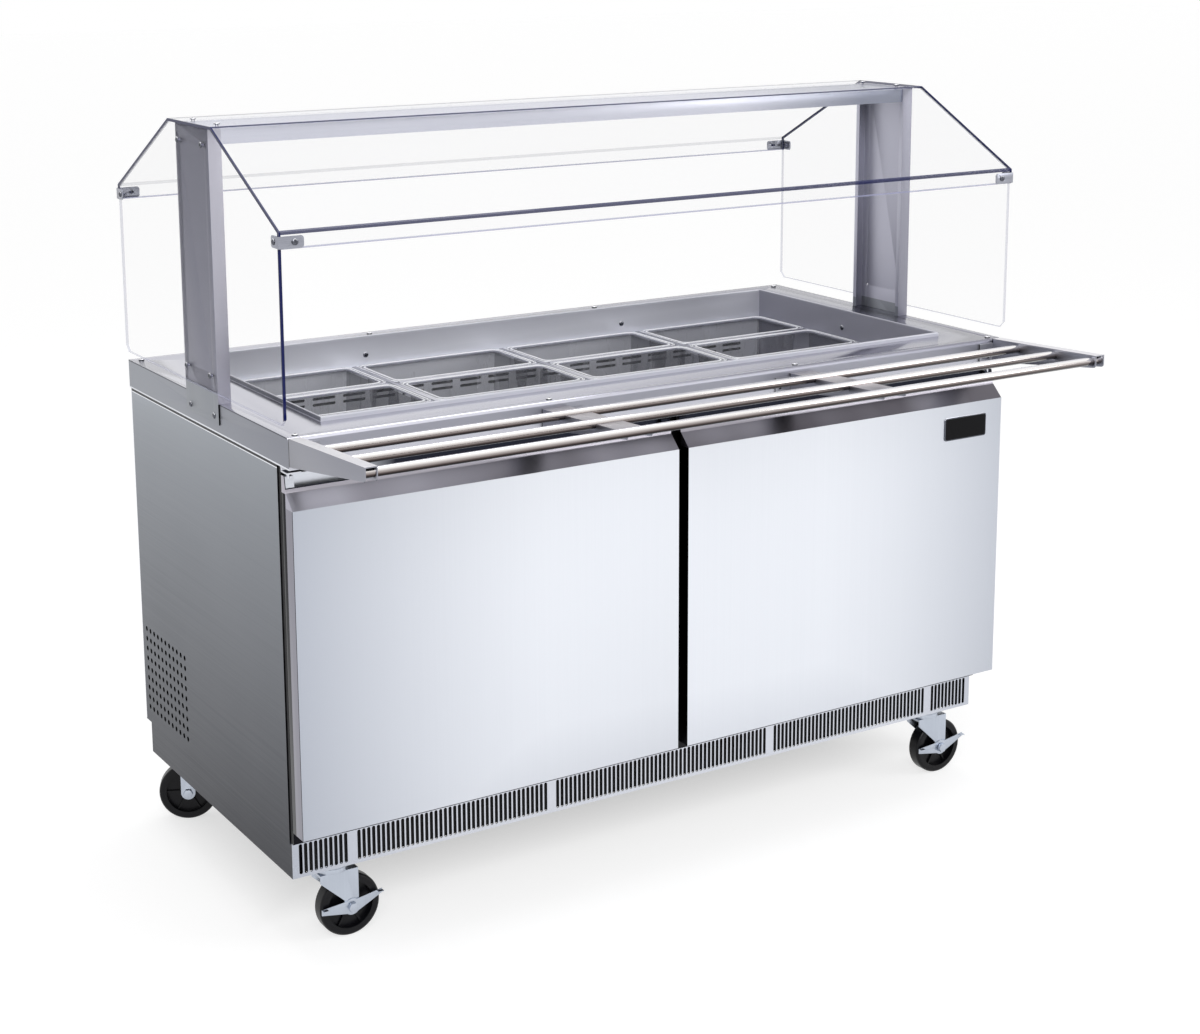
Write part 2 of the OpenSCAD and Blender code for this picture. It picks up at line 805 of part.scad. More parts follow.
// A clear food pan with a flat rim and drafted walls
module pan(column, row) placed() color("aliceblue", 0.5) {
  top_l = pan_l - 2 * pan_rim_w;
  top_w = pan_w - 2 * pan_rim_w;
  low_l = top_l - 2 * pan_draft;
  low_w = top_w - 2 * pan_draft;
  t = pan_t;
  translate([column_x(column), row_y(row), 0]) difference() {
    union() {
      along_z([rim_bottom, rim_top]) soft_rect(
        [-pan_l / 2, pan_l / 2], [-pan_w / 2, pan_w / 2], pan_corner_r + pan_rim_w / 2);
      tapered(low_l, low_w, pan_floor, top_l, top_w, rim_top, pan_corner_r);
    }
    tapered(low_l - 2 * t, low_w - 2 * t, pan_floor + t, top_l - 2 * t, top_w - 2 * t, rim_top + over,
      pan_corner_r - t);
  }
}

module pan_a1() pan(0, 0);
module pan_a2() pan(1, 0);
module pan_a3() pan(2, 0);
module pan_a4() pan(3, 0);
module pan_b1() pan(0, 1);
module pan_b2() pan(1, 1);
module pan_b3() pan(2, 1);
module pan_b4() pan(3, 1);
module pan_c1() pan(0, 2);
module pan_c2() pan(1, 2);
module pan_c3() pan(2, 2);
module pan_c4() pan(3, 2);

// The cooling coil under the well, with its fins, tubes and end plates
module evaporator() placed() color("lightsteelblue") {
  y1 = cavity_back - liner_t;
  y0 = y1 - evap_d;
  z = [step_z + liner_t + evap_low, ceiling_z - liner_t];
  half = evap_l / 2;
  for (x = [-half, half - sheet_t]) block([x, x + sheet_t], [y0, y1], z);
  block([-half + sheet_t, half - sheet_t], [y1 - sheet_t, y1], z);
  fin_y = [y0 + evap_d / 4, y1 - sheet_t];
  for (i = [1 : evap_fins]) {
    x = -half + i * evap_l / (evap_fins + 1);
    block([x, x + fin_t], fin_y, [z[0] + evap_low, z[1] - evap_low]);
  }
  for (i = [1 : evap_rows]) for (j = [1 : evap_banks])
    translate([-half, y0 + evap_d / 4 + j * evap_d / 4, z[0] + i * (z[1] - z[0]) / (evap_rows + 1)])
      rotate([0, 90, 0]) cylinder(d = coil_tube_d, h = evap_l);
}

// The sealed compressor on its tray, with feet, tubes and a terminal cover
module compressor() placed() color("dimgray") {
  r = compressor_d / 2;
  shell_z = coil_z0 + foot_h + tray_t;
  dome = r * dome_share;
  block([tray_x0, tray_x1], [machine_y + tray_gap, foam_back - tray_gap], [base_top, coil_z0]);
  translate([compressor_x, machine_mid_y, 0]) {
    for (s = [-1, 1]) for (t = [-1, 1]) translate([s * r * foot_share, t * r * foot_share, coil_z0])
      cylinder(d = foot_d, h = foot_h);
    block([-r, r], [-r, r], [coil_z0 + foot_h, shell_z]);
    translate([0, 0, shell_z]) rotate_extrude() polygon(concat(
      [[0, 0], [r - dome / 2, 0]], arc([r - dome / 2, dome / 2], dome / 2, -90, 0, 4),
      arc([r - dome, compressor_h - dome], dome, 0, 90, 6), [[0, compressor_h]]
    ));
    block([r - dome / 4, r + terminal_w], [-terminal_w, terminal_w], [shell_z + r / 2, shell_z + r]);
    translate([-r + dome / 4, 0, shell_z + r]) rotate([0, -90, 0])
      cylinder(d = coil_tube_d, h = terminal_w + dome / 2);
  }
}

// The condenser coil with its shroud, and the fan motor on its bracket
module condenser() placed() color("darkgray") {
  y = [machine_y + tray_gap, foam_back - tray_gap];
  z = [coil_z0, coil_z1];
  x = [coil_x, coil_x + coil_t, coil_x + coil_t + shroud_d];
  for (s = [0, 1]) block([x[0], x[1]], [y[s] - s * sheet_t, y[s] + (1 - s) * sheet_t], z);
  for (i = [1 : coil_fins]) {
    h = z[0] + i * (z[1] - z[0]) / (coil_fins + 1);
    block([x[0], x[1]], [y[0] + sheet_t, y[1] - sheet_t], [h, h + fin_t]);
  }
  rise = (z[1] - z[0]) / (coil_passes + 1);
  for (i = [1 : coil_passes]) translate([x[0] + coil_t / 2, y[0], z[0] + i * rise])
    rotate([-90, 0, 0]) cylinder(d = coil_tube_d, h = y[1] - y[0]);
  difference() {
    block([x[1], x[2]], y, z);
    block([x[1] - over, x[2] - sheet_t], [y[0] + sheet_t, y[1] - sheet_t], [z[0] + sheet_t, z[1] - sheet_t]);
    translate([x[1], machine_mid_y, fan_z]) rotate([0, 90, 0])
      cylinder(d = fan_d + 2 * fan_gap, h = shroud_d + over);
  }
  translate([motor_x, machine_mid_y, fan_z]) rotate([0, 90, 0]) cylinder(d = motor_d, h = motor_l);
  translate([fan_x, machine_mid_y, fan_z]) rotate([0, 90, 0]) cylinder(d = shaft_d, h = shaft_l);
  foot = motor_d / 4;
  block([motor_x + foot, motor_x + motor_l - foot], [machine_mid_y - foot, machine_mid_y + foot],
    [z[0], fan_z - foot]);
}

// The condenser fan, a hub with pitched blades
module condenser_fan() placed() color("black") {
  translate([fan_x, machine_mid_y, fan_z]) rotate([0, 90, 0]) difference() {
    union() {
      cylinder(d = hub_d, h = hub_l);
      for (a = [0 : 360 / fan_blades : 359]) rotate([0, 0, a])
        translate([0, 0, hub_l / 2]) rotate([blade_pitch, 0, 0])
          translate([hub_d / 3, -blade_w / 2, -fin_t]) cube([fan_d / 2 - hub_d / 3, blade_w, 2 * fin_t]);
    }
    translate([0, 0, -over]) cylinder(d = shaft_d + 2 * run_fit, h = hub_l + 2 * over);
  }
}

// Two wire shelves, each a frame with cross wires on top
module wire_shelves() placed() color("white") {
  both_sides() wire_shelf();
}

module wire_shelf() {
  x = [shelf_gap, cavity_half - liner_t - shelf_gap];
  y = [body_front + shelf_gap, cavity_back - liner_t - evap_d - shelf_gap];
  z = shelf_height();
  r = shelf_wire_d / 2;
  for (h = y) translate([x[0], h, z]) rotate([0, 90, 0]) cylinder(r = r, h = x[1] - x[0]);
  for (h = x) translate([h, y[0], z]) rotate([-90, 0, 0]) cylinder(r = r, h = y[1] - y[0]);
  for (h = x) for (k = y) translate([h, k, z]) sphere(r = r);
  n = floor((x[1] - x[0]) / wire_pitch);
  for (i = [1 : n - 1]) translate([x[0] + i * (x[1] - x[0]) / n, y[0], z + r])
    rotate([-90, 0, 0]) cylinder(d = wire_d, h = y[1] - y[0]);
}

function shelf_height() = cavity_floor + shelf_z;

// Strips and clips that carry the shelves at the sides and in the middle
module shelf_supports() placed() color("silver") {
  z1 = shelf_height() - shelf_wire_d / 2;
  wall = cavity_half - liner_t;
  rear = cavity_back - liner_t - evap_d - shelf_gap - clip_w;
  both_sides() for (y = [body_front + 2 * shelf_gap, step_y - liner_t - 2 * clip_w]) {
    block([wall - bar_t, wall], [y, y + clip_w], [cavity_floor + liner_t, z1 + strip_above]);
    block([wall - clip_w, wall - bar_t - clip_gap], [y, y + clip_w], [z1 - clip_w, z1]);
  }
  half = shelf_gap + clip_w;
  block([-clip_w, clip_w], [body_front, body_front + bar_t], [cavity_floor + liner_t, z1 + strip_above]);
  block([-half, half], [body_front + bar_t + clip_gap, body_front + shelf_gap + clip_w], [z1 - bar_t, z1]);
  block([-half, half], [rear - clip_w, rear], [z1 - bar_t, z1]);
  block([-bar_t, bar_t], [rear - clip_w, rear], [step_z + liner_t, z1 - bar_t - clip_gap]);
}

// A hinge plate above or below a door corner, with its pin
module hinge_plate(top) {
  x = half_w - pin_inset;
  plate = top ? [door_z1 + hinge_gap, door_z1 + hinge_gap + hinge_plate_t]
    : [door_z0 - hinge_gap - hinge_plate_t, door_z0 - hinge_gap];
  wing = top ? [plate[1], body_top] : [base_top + hinge_gap, plate[0]];
  pin = top ? [door_z1 - pin_l, plate[0]] : [plate[1], door_z0 + pin_l];
  x0 = inner_half - hinge_plate_w;
  block([x0, inner_half], [pin_y - pin_d, frame_front], plate);
  block([x0, inner_half], [frame_front - hinge_plate_t, frame_front], wing);
  translate([x, pin_y, pin[0]]) cylinder(d = pin_d, h = pin[1] - pin[0]);
}

module hinge_plates() placed() color("silver") both_sides() {
  hinge_plate(true);
  hinge_plate(false);
}

// The folded outer skin of a door with its sloped front edge
module door_skin() {
  x = [-half_w, -half_w + door_w];
  t = skin_t;
  difference() {
    along_x(x) polygon([
      [door_front, door_z0], [door_front, face_top], [lip_y, chamfer_top], [strip_y, door_z1],
      [door_back, door_z1], [door_back, door_z0]
    ]);
    along_x([x[0] + t, x[1] - t]) polygon([
      [door_front + t, door_z0 + t], [door_front + t, face_top], [lip_y + t, chamfer_top],
      [lip_y + t, door_z1 + over], [door_back + over, door_z1 + over], [door_back + over, door_z0 + t]
    ]);
    translate([-half_w + pin_inset, pin_y, door_z0 - over])
      cylinder(d = pin_d + 2 * move_gap, h = t + 2 * over);
  }
  block([x[0] + t, x[1] - t], [lip_y, lip_y + t], [chamfer_top - lip_fold, chamfer_top - t]);
}

// The insulated filling of a door with its raised inner panel and lower pin bore
module door_core() {
  t = skin_t;
  x = [-half_w + t, -half_w + door_w - t];
  inset = gasket_inset + gasket_w + move_gap;
  difference() {
    union() {
      block(x, [door_front + t, door_back], [door_z0 + t, groove_floor - t]);
      along_y([door_back, door_back + dyke_t]) soft_rect([x[0] + inset, x[1] - inset],
        [door_z0 + inset, groove_floor - t - gasket_inset], corner_r);
    }
    translate([-half_w + pin_inset, pin_y, door_z0 + t - over])
      cylinder(d = pin_d + 2 * run_fit, h = pin_l + over);
  }
}

// The gasket round the back of a door, a bellows of three steps
module door_gasket() {
  x = [-half_w + gasket_inset, -half_w + door_w - gasket_inset];
  z = [door_z0 + gasket_inset, door_z1 - gasket_inset];
  foot = gasket_t / 4;
  gasket_ring(x, z, 0, [door_back, door_back + foot]);
  gasket_ring(x, z, gasket_w / 5, [door_back + foot, door_back + 2 * foot]);
  gasket_ring(x, z, 0, [door_back + 2 * foot, door_back + gasket_t]);
}

module gasket_ring(x, z, inset, y) {
  along_y(y) difference() {
    soft_rect([x[0] + inset, x[1] - inset], [z[0] + inset, z[1] - inset], corner_r);
    soft_rect([x[0] + gasket_w - inset, x[1] - gasket_w + inset],
      [z[0] + gasket_w - inset, z[1] - gasket_w + inset], corner_r / 2);
  }
}

// The finger groove of a door, its back plate and its two end caps
module door_grip() {
  t = skin_t;
  x = [-half_w + t, -half_w + door_w - t];
  y0 = lip_y + t;
  low = groove_floor - t;
  along_x([x[0] + end_cap_w, x[1] - end_cap_w]) polygon([
    [y0, low], [y0, chamfer_top - t], [y0 + t, chamfer_top - t], [y0 + t, groove_floor],
    [door_back - t, groove_floor], [door_back - t, door_z1], [door_back, door_z1], [door_back, low]
  ]);
  difference() {
    for (s = [x[0], x[1] - end_cap_w]) along_x([s, s + end_cap_w]) polygon([
      [y0, low], [y0, chamfer_top - t], [strip_y + t, door_z1 - t], [door_back, door_z1 - t], [door_back, low]
    ]);
    translate([-half_w + pin_inset, pin_y, door_z1 - pin_l - over])
      cylinder(d = pin_d + 2 * run_fit, h = pin_l + 2 * over);
  }
}

module door_skin_left() placed() color("gainsboro") door_skin();
module door_core_left() placed() color("whitesmoke") door_core();
module door_gasket_left() placed() color("black") door_gasket();
module door_grip_left() placed() color("silver") door_grip();
module door_skin_right() placed() color("gainsboro") mirror([1, 0, 0]) door_skin();
module door_core_right() placed() color("whitesmoke") mirror([1, 0, 0]) door_core();
module door_gasket_right() placed() color("black") mirror([1, 0, 0]) door_gasket();
module door_grip_right() placed() color("silver") mirror([1, 0, 0]) door_grip();

// A guard post, an open channel with return lips and a tab down the side of the counter
module guard_post() {
  t = post_web_t;
  y = [guard_mid - post_w / 2, guard_mid + post_w / 2];
  top = roof_top - clear_t;
  flange = [-post_x, -post_x + post_flange];
  lip = [flange[1] - t, flange[1]];
  difference() {
    block([-post_x, -post_x + t], y, [counter_z - post_tab, top]);
    tab_screws() screw_hole(t);
    panel_screws() screw_hole(clear_t + t);
  }
  for (s = [0, 1]) {
    block(flange, [y[s] - s * t, y[s] + (1 - s) * t], [counter_z, top]);
    block(lip, [y[s] - s * post_return, y[s] + (1 - s) * post_return], [counter_z, top - beam_h]);
  }
}

module guard_post_left() placed() color("darkgray") guard_post();
module guard_post_right() placed() color("darkgray") mirror([1, 0, 0]) guard_post();

// The beam across the posts, an inverted channel
module guard_beam() placed() color("lightgray") {
  t = post_web_t;
  top = roof_top - clear_t;
  y = [guard_mid - post_w / 2 + t, guard_mid + post_w / 2 - t];
  difference() {
    block([-half_w, half_w], y, [top - beam_h, top]);
    block([-half_w - over, half_w + over], [y[0] + t, y[1] - t], [top - beam_h - over, top - t]);
    both_sides() roof_screws() screw_hole(clear_t + t);
  }
}

// The bent clear roof sheet with upright lips along the front and back
module guard_roof() placed() color("aliceblue", 0.4) {
  low = eave_z - eave_lip;
  outer = [[guard_half, low], [guard_half, eave_z], [roof_flat / 2, roof_top]];
  inner = [ridge_inner, eave_inner, [guard_half - clear_t, low]];
  difference() {
    along_x([-guard_x, guard_x]) translate([guard_mid, 0]) polygon(concat(
      outer, [for (i = [2 : -1 : 0]) [-outer[i][0], outer[i][1]]],
      [for (i = [2 : -1 : 0]) [-inner[i][0], inner[i][1]]], inner
    ));
    both_sides() {
      roof_screws() screw_hole(clear_t);
      clip_front_screws() screw_hole(sheet_t + clear_t);
    }
  }
}

// A clear end panel that closes the guard outside a post
module guard_end() {
  low = counter_z + end_panel_gap;
  y = eave_inner[0];
  c = panel_chamfer;
  half_outline = [[y - c, low], [y, low + c], eave_inner, ridge_inner];
  difference() {
    along_x([-guard_x, -post_x]) translate([guard_mid, 0]) polygon(concat(
      half_outline, [for (i = [3 : -1 : 0]) [-half_outline[i][0], half_outline[i][1]]]
    ));
    panel_screws() screw_hole(clear_t);
    clip_side_screws() screw_hole(sheet_t + clear_t);
  }
}

module guard_end_left() placed() color("aliceblue", 0.4) guard_end();
module guard_end_right() placed() color("aliceblue", 0.4) mirror([1, 0, 0]) guard_end();

// A corner clip that holds a roof lip to an end panel
module guard_clip() {
  t = sheet_t;
  z = [clip_z - clip_h / 2, clip_z + clip_h / 2];
  front = guard_mid - guard_half;
  x = -guard_x - t;
  r = clip_h / 4;
  difference() {
    union() {
      along_y([front - t, front]) {
        soft_rect([x, x + clip_l], z, r);
        translate([x, z[0]]) square([clip_l / 2, clip_h]);
      }
      along_x([x, x + t]) {
        soft_rect([front - t, front - t + clip_side], z, r);
        translate([front - t, z[0]]) square([clip_side / 2, clip_h]);
      }
    }
    clip_front_screws() screw_hole(t);
    clip_side_screws() screw_hole(t);
  }
}

module guard_clips() placed() color("silver") both_sides() {
  guard_clip();
  translate([0, 2 * guard_mid, 0]) mirror([0, 1, 0]) guard_clip();
}

// All dome screws: on the counter, in the well, on the posts, the roof and the clips
module dome_screws() placed() color("silver") both_sides() {
  counter_screws() dome_screw(sheet_t);
  well_screws() dome_screw(sheet_t);
  tab_screws() dome_screw(post_web_t + sheet_t);
  panel_screws() dome_screw(clear_t + post_web_t);
  roof_screws() dome_screw(clear_t + post_web_t);
  clip_front_screws() dome_screw(sheet_t + clear_t);
  clip_side_screws() dome_screw(sheet_t + clear_t);
}

// Height of the top of the tray brackets at a distance in front of the counter
function slide_top(d) = counter_z + slide_rise * d / slide_reach;
function tube_at(i) = first_tube + i * tube_pitch;
function tube_z(i) = slide_top(tube_at(i)) - sheet_t - bar_t / 2 - tube_d / 2;

// The outline of the side of a tray bracket, set in by a margin at the top
module bracket_outline(inset, reach) {
  root = counter_z - bracket_root_h;
  tip = slide_top(slide_reach) - bracket_tip_h;
  r = bracket_tip_h / 4;
  polygon(concat(
    [[0, counter_z - inset], [-reach, slide_top(reach) - inset]],
    arc([-reach + r, tip + r], r, 180, 270, 4), [[0, root]]
  ));
}

// An end bracket, an inverted channel whose inner web the tubes pass through
module end_bracket() {
  t = sheet_t;
  x = [-half_w, -half_w + bracket_w];
  root = counter_z - bracket_root_h;
  difference() {
    along_x(x) bracket_outline(0, slide_reach);
    along_x([x[0] + t, x[1] - t]) polygon([
      [-t, counter_z - t], [-slide_reach - over, slide_top(slide_reach + over) - t],
      [-slide_reach - over, root - over], [-t, root - over]
    ]);
    for (i = [0 : tubes - 1]) translate([x[0] + t, -tube_at(i), tube_z(i)])
      rotate([0, 90, 0]) cylinder(d = tube_d, h = bracket_w);
  }
  difference() {
    block([x[1], x[1] + flange_w], [-t, 0], [root + t, counter_z - nose_r]);
    translate([x[1] + flange_w / 3, 0, root + bracket_root_h / 3]) along_y([-t - over, over])
      slot_outline(slot_w, 2 * slot_w);
    translate([x[1] + flange_w * 2 / 3, over, root + bracket_root_h / 3]) rotate([90, 0, 0])
      cylinder(d = slot_w, h = t + 2 * over);
  }
}

// A middle bracket, a channel notched for the tubes, with a slotted root flange
module middle_bracket() {
  t = sheet_t;
  x = [arm_x - arm_w / 2, arm_x + arm_w / 2];
  drop = tube_d / 2 + bar_t;
  root = counter_z - bracket_root_h;
  reach = slide_reach - bracket_tip_h / 3;
  difference() {
    along_x(x) bracket_outline(drop, reach);
    along_x([x[0] + t, x[1] - t]) polygon([
      [-t, counter_z - drop - t], [-reach - over, slide_top(reach + over) - drop - t],
      [-reach - over, root - over], [-t, root - over]
    ]);
    for (i = [0 : tubes - 1]) translate([x[0] - over, -tube_at(i), tube_z(i)])
      rotate([0, 90, 0]) cylinder(d = tube_d, h = arm_w + 2 * over);
  }
  difference() {
    block([x[0] - flange_w, x[0]], [-t, 0], [root, root + 2 * bracket_root_h / 3]);
    translate([x[0] - flange_w * 2 / 3, 0, root + bracket_root_h / 3]) along_y([-t - over, over])
      slot_outline(slot_w, 2 * slot_w);
    translate([x[0] - flange_w / 3, over, root + bracket_root_h / 3]) rotate([90, 0, 0])
      cylinder(d = slot_w, h = t + 2 * over);
  }
}

module tray_brackets() placed() color("silver") {
  both_sides() end_bracket();
  middle_bracket();
  mirror([1, 0, 0]) middle_bracket();
}

// The three tray tubes between the webs of the end brackets
module tray_tubes() placed() color("lightgray") {
  half = half_w - sheet_t;
  for (i = [0 : tubes - 1]) translate([-half, -tube_at(i), tube_z(i)]) rotate([0, 90, 0]) difference() {
    cylinder(d = tube_d, h = 2 * half);
    translate([0, 0, -over]) cylinder(d = tube_d - 2 * tube_wall, h = 2 * half + 2 * over);
  }
}

// Places children at a caster, turned about its kingpin
module at_caster(i) {
  c = caster_places[i];
  translate([c[0] * caster_x, c[1] == 0 ? caster_y0 : caster_y1, 0]) rotate([0, 0, c[2]]) children();
}

// Fixed top plates with bolts, upper races and kingpins
module caster_plates() placed() color("lightgray") {
  for (c = caster_places) translate([c[0] * caster_x, c[1] == 0 ? caster_y0 : caster_y1, 0]) caster_plate();
}

module caster_plate() {
  z0 = mount_z - plate_t;
  race_z = crown_z + crown_t + lower_race_h + move_gap;
  difference() {
    along_z([z0, mount_z]) soft_rect([-plate_l / 2, plate_l / 2], [-plate_w / 2, plate_w / 2], plate_t);
    for (b = plate_bolts) translate([b[0], b[1], z0 - over])
      cylinder(d = bolt_hole_d, h = plate_t + 2 * over);
  }
  translate([0, 0, race_z]) cylinder(d = race_d, h = z0 - race_z);
  translate([0, 0, crown_z - nut_gap - nut_h]) cylinder(d = kingpin_d, h = z0 - crown_z + nut_gap + nut_h);
  translate([0, 0, crown_z - nut_gap - nut_h]) cylinder(d = nut_d, h = nut_h);
  for (b = plate_bolts) translate([b[0], b[1], 0]) {
    translate([0, 0, z0 - bolt_head_h]) cylinder(d = bolt_head_d, h = bolt_head_h, $fn = 6);
    translate([0, 0, z0]) cylinder(d = bolt_d, h = plate_t + member_t + bolt_head_h);
  }
}

// A yoke with its race, legs and axle bolt
module caster_fork() {
  axle = [caster_trail, wheel_r];
  leg_r = axle_d * leg_share;
  crown_x = [-crown_back, caster_trail + leg_r];
  difference() {
    union() {
      block(crown_x, [-fork_half, fork_half], [crown_z, crown_z + crown_t]);
      translate([0, 0, crown_z + crown_t]) cylinder(d = race_d, h = lower_race_h);
    }
    translate([0, 0, crown_z - over])
      cylinder(d = kingpin_d + 2 * run_fit, h = crown_t + lower_race_h + 2 * over);
  }
  for (s = [-1, 1]) {
    y = s < 0 ? [-fork_half, -fork_half + fork_t] : [fork_half - fork_t, fork_half];
    difference() {
      along_y(y) {
        polygon([
          [crown_x[0], crown_z], [crown_x[0], crown_z - crown_t * 2], [axle[0] - leg_r, axle[1] + leg_r],
          [axle[0] - leg_r, axle[1]], [axle[0] + leg_r, axle[1]], [crown_x[1], crown_z]
        ]);
        translate(axle) circle(leg_r);
      }
      translate([axle[0], y[0] - over, axle[1]]) rotate([-90, 0, 0])
        cylinder(d = axle_d, h = fork_t + 2 * over);
    }
  }
  translate([axle[0], 0, axle[1]]) rotate([90, 0, 0]) {
    translate([0, 0, -fork_half]) cylinder(d = axle_d, h = 2 * fork_half + lever_gap);
    translate([0, 0, fork_half + lever_gap]) cylinder(d = axle_head_d, h = axle_head_h, $fn = 6);
    translate([0, 0, -fork_half - axle_head_h]) cylinder(d = axle_head_d, h = axle_head_h, $fn = 6);
  }
}

// A wheel with a soft tread, a recessed web with ribs, and a bored hub
module caster_wheel() {
  h = wheel_w / 2;
  rim = wheel_r * rim_share;
  hub = axle_d * hub_share;
  hub_h = fork_gap / 2 - move_gap;
  web = wheel_w / 6;
  edge = wheel_w / 5;
  translate([caster_trail, 0, wheel_r]) rotate([90, 0, 0]) {
    bore = axle_d / 2 + run_fit;
    rotate_extrude() polygon(concat(
      [[bore, -hub_h], [hub, -hub_h], [hub, -web], [rim - edge / 2, -web], [rim - edge / 2, -h]],
      arc([wheel_r - edge, -h + edge], edge, -90, 0, 5),
      arc([wheel_r - edge, h - edge], edge, 0, 90, 5),
      [[rim - edge / 2, h], [rim - edge / 2, web], [hub, web], [hub, hub_h], [bore, hub_h]]
    ));
    for (a = [0 : 360 / wheel_ribs : 359]) rotate([0, 0, a])
      block([hub - edge / 4, rim - edge / 4], [-fork_t / 2, fork_t / 2], [-h + edge, h - edge]);
  }
}

// A two-winged brake pedal that rocks on the axle
module brake_lever() {
  t = fork_t / 2;
  y = [-fork_half - move_gap - t, -fork_half - move_gap];
  r = axle_d * boss_share;
  w = r * wing_share;
  translate([caster_trail, 0, wheel_r]) difference() {
    union() {
      along_y(y) {
        circle(r);
        polygon([[-r / 2, w], [-pedal_l, r / 2], [-pedal_l, -r / 5], [-r / 2, -w]]);
        polygon([[r / 2, w], [pedal_l, pedal_rise], [pedal_l, pedal_rise - r / 2], [r / 2, -w]]);
      }
      block([-pedal_l, -pedal_l + 2 * r / 3], [y[0] - pedal_tab, y[0]], [r / 2 - t, r / 2]);
      translate([pedal_l - 2 * r / 3, y[0] - pedal_tab, pedal_rise - t * 2]) cube([2 * r / 3, pedal_tab, t]);
    }
    translate([0, y[0] - over, 0]) rotate([-90, 0, 0])
      cylinder(d = axle_d + 2 * run_fit, h = t + 2 * over);
  }
}

module caster_fork_fl() placed() color("silver") at_caster(0) caster_fork();
module caster_fork_fr() placed() color("silver") at_caster(1) caster_fork();
module caster_fork_bl() placed() color("silver") at_caster(2) caster_fork();
module caster_fork_br() placed() color("silver") at_caster(3) caster_fork();
module caster_wheel_fl() placed() color("black") at_caster(0) caster_wheel();
module caster_wheel_fr() placed() color("black") at_caster(1) caster_wheel();
module caster_wheel_bl() placed() color("black") at_caster(2) caster_wheel();
module caster_wheel_br() placed() color("black") at_caster(3) caster_wheel();
module brake_lever_fl() placed() color("silver") at_caster(0) brake_lever();
module brake_lever_fr() placed() color("silver") at_caster(1) brake_lever();

base_frame();
side_panel_left();
side_panel_right();
kick_grille();
back_panel();
rear_grille();
foam_core();
cabinet_liner();
front_frame();
counter_top();
well_liner();
divider_bars();
evaporator();
compressor();
condenser();
condenser_fan();
wire_shelves();
shelf_supports();
hinge_plates();
dome_screws();
guard_post_left();
guard_post_right();
guard_beam();
guard_roof();
guard_end_left();
guard_end_right();
guard_clips();
tray_brackets();
tray_tubes();
door_skin_left();
door_core_left();
door_gasket_left();
door_grip_left();
door_skin_right();
door_core_right();
door_gasket_right();
door_grip_right();
caster_plates();
caster_fork_fl();
caster_fork_fr();
caster_fork_bl();
caster_fork_br();
caster_wheel_fl();
caster_wheel_fr();
caster_wheel_bl();
caster_wheel_br();
brake_lever_fl();
brake_lever_fr();
pan_a1();
pan_a2();
pan_a3();
pan_a4();
pan_b1();
pan_b2();
pan_b3();
pan_b4();
pan_c1();
pan_c2();
pan_c3();
pan_c4();
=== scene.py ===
# %% [markdown]
# # A mobile salad bar
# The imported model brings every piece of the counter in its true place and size.
# This lesson dresses it: it rounds the folded edges, moulds the pans anew,
# sets the screws, and gives each piece the finish that the real one has.
# Everything is in metres, with the floor at height zero and the front towards -Y.

import json
import math

import bmesh
import bpy
import numpy as np
from mathutils import Matrix, Vector


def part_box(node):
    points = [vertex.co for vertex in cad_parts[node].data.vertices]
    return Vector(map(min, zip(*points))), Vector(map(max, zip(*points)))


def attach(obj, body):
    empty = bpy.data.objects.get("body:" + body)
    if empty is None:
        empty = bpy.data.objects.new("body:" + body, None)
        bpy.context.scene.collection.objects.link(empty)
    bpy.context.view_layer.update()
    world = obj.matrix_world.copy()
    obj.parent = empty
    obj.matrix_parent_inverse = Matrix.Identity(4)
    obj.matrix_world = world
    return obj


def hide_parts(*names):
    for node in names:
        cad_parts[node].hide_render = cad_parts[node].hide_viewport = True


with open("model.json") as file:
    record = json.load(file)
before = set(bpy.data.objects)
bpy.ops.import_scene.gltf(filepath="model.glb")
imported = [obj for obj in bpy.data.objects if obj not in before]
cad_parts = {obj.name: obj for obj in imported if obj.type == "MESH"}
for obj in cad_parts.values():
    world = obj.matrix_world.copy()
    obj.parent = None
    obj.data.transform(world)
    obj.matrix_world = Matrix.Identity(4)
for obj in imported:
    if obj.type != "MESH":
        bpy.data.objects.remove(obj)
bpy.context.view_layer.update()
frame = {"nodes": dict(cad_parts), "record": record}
nodes = frame["nodes"]
scene = bpy.context.scene
scene.view_settings.view_transform = "Standard"
print("pieces in the model:", len(nodes))

# %% [markdown]
# ## The camera
# A product picture is taken from a little above, at the left of the front, with a long lens.
# The camera is set by its place and three angles, so that the frame matches the picture.
# A small downward shift keeps the upright edges nearly upright.

# %% Place the camera
EYE = Vector((-2.09445, -3.30085, 1.74982))
AZIMUTH = math.radians(32.04)
TILT = math.radians(11.2)
ROLL = math.radians(-0.21)
FOCAL = 63.30
SHIFT = -0.15


def camera_axes():
    """The camera's right, up and back directions."""
    level = math.cos(TILT)
    ahead = Vector((math.sin(AZIMUTH) * level, math.cos(AZIMUTH) * level, -math.sin(TILT)))
    side = ahead.cross(Vector((0, 0, 1))).normalized()
    above = side.cross(ahead)
    right = math.cos(ROLL) * side + math.sin(ROLL) * above
    up = -math.sin(ROLL) * side + math.cos(ROLL) * above
    return right, up, -ahead


lens = bpy.data.cameras.new("camera")
lens.sensor_width = 36
lens.lens = FOCAL
lens.shift_y = SHIFT
camera = bpy.data.objects.new("camera", lens)
camera.matrix_world = Matrix.Translation(EYE) @ Matrix(camera_axes()).transposed().to_4x4()
scene.collection.objects.link(camera)
scene.camera = camera
print("camera at", tuple(round(x, 2) for x in EYE))

# %% [markdown]
# ## Shader maths in plain Python
# A finish is a small sum of fields: noise, gradients and masks.
# Written as nodes, each sum takes many lines, so this class lets a socket be added,
# multiplied and compared as a number is, and adds the Math nodes by itself.

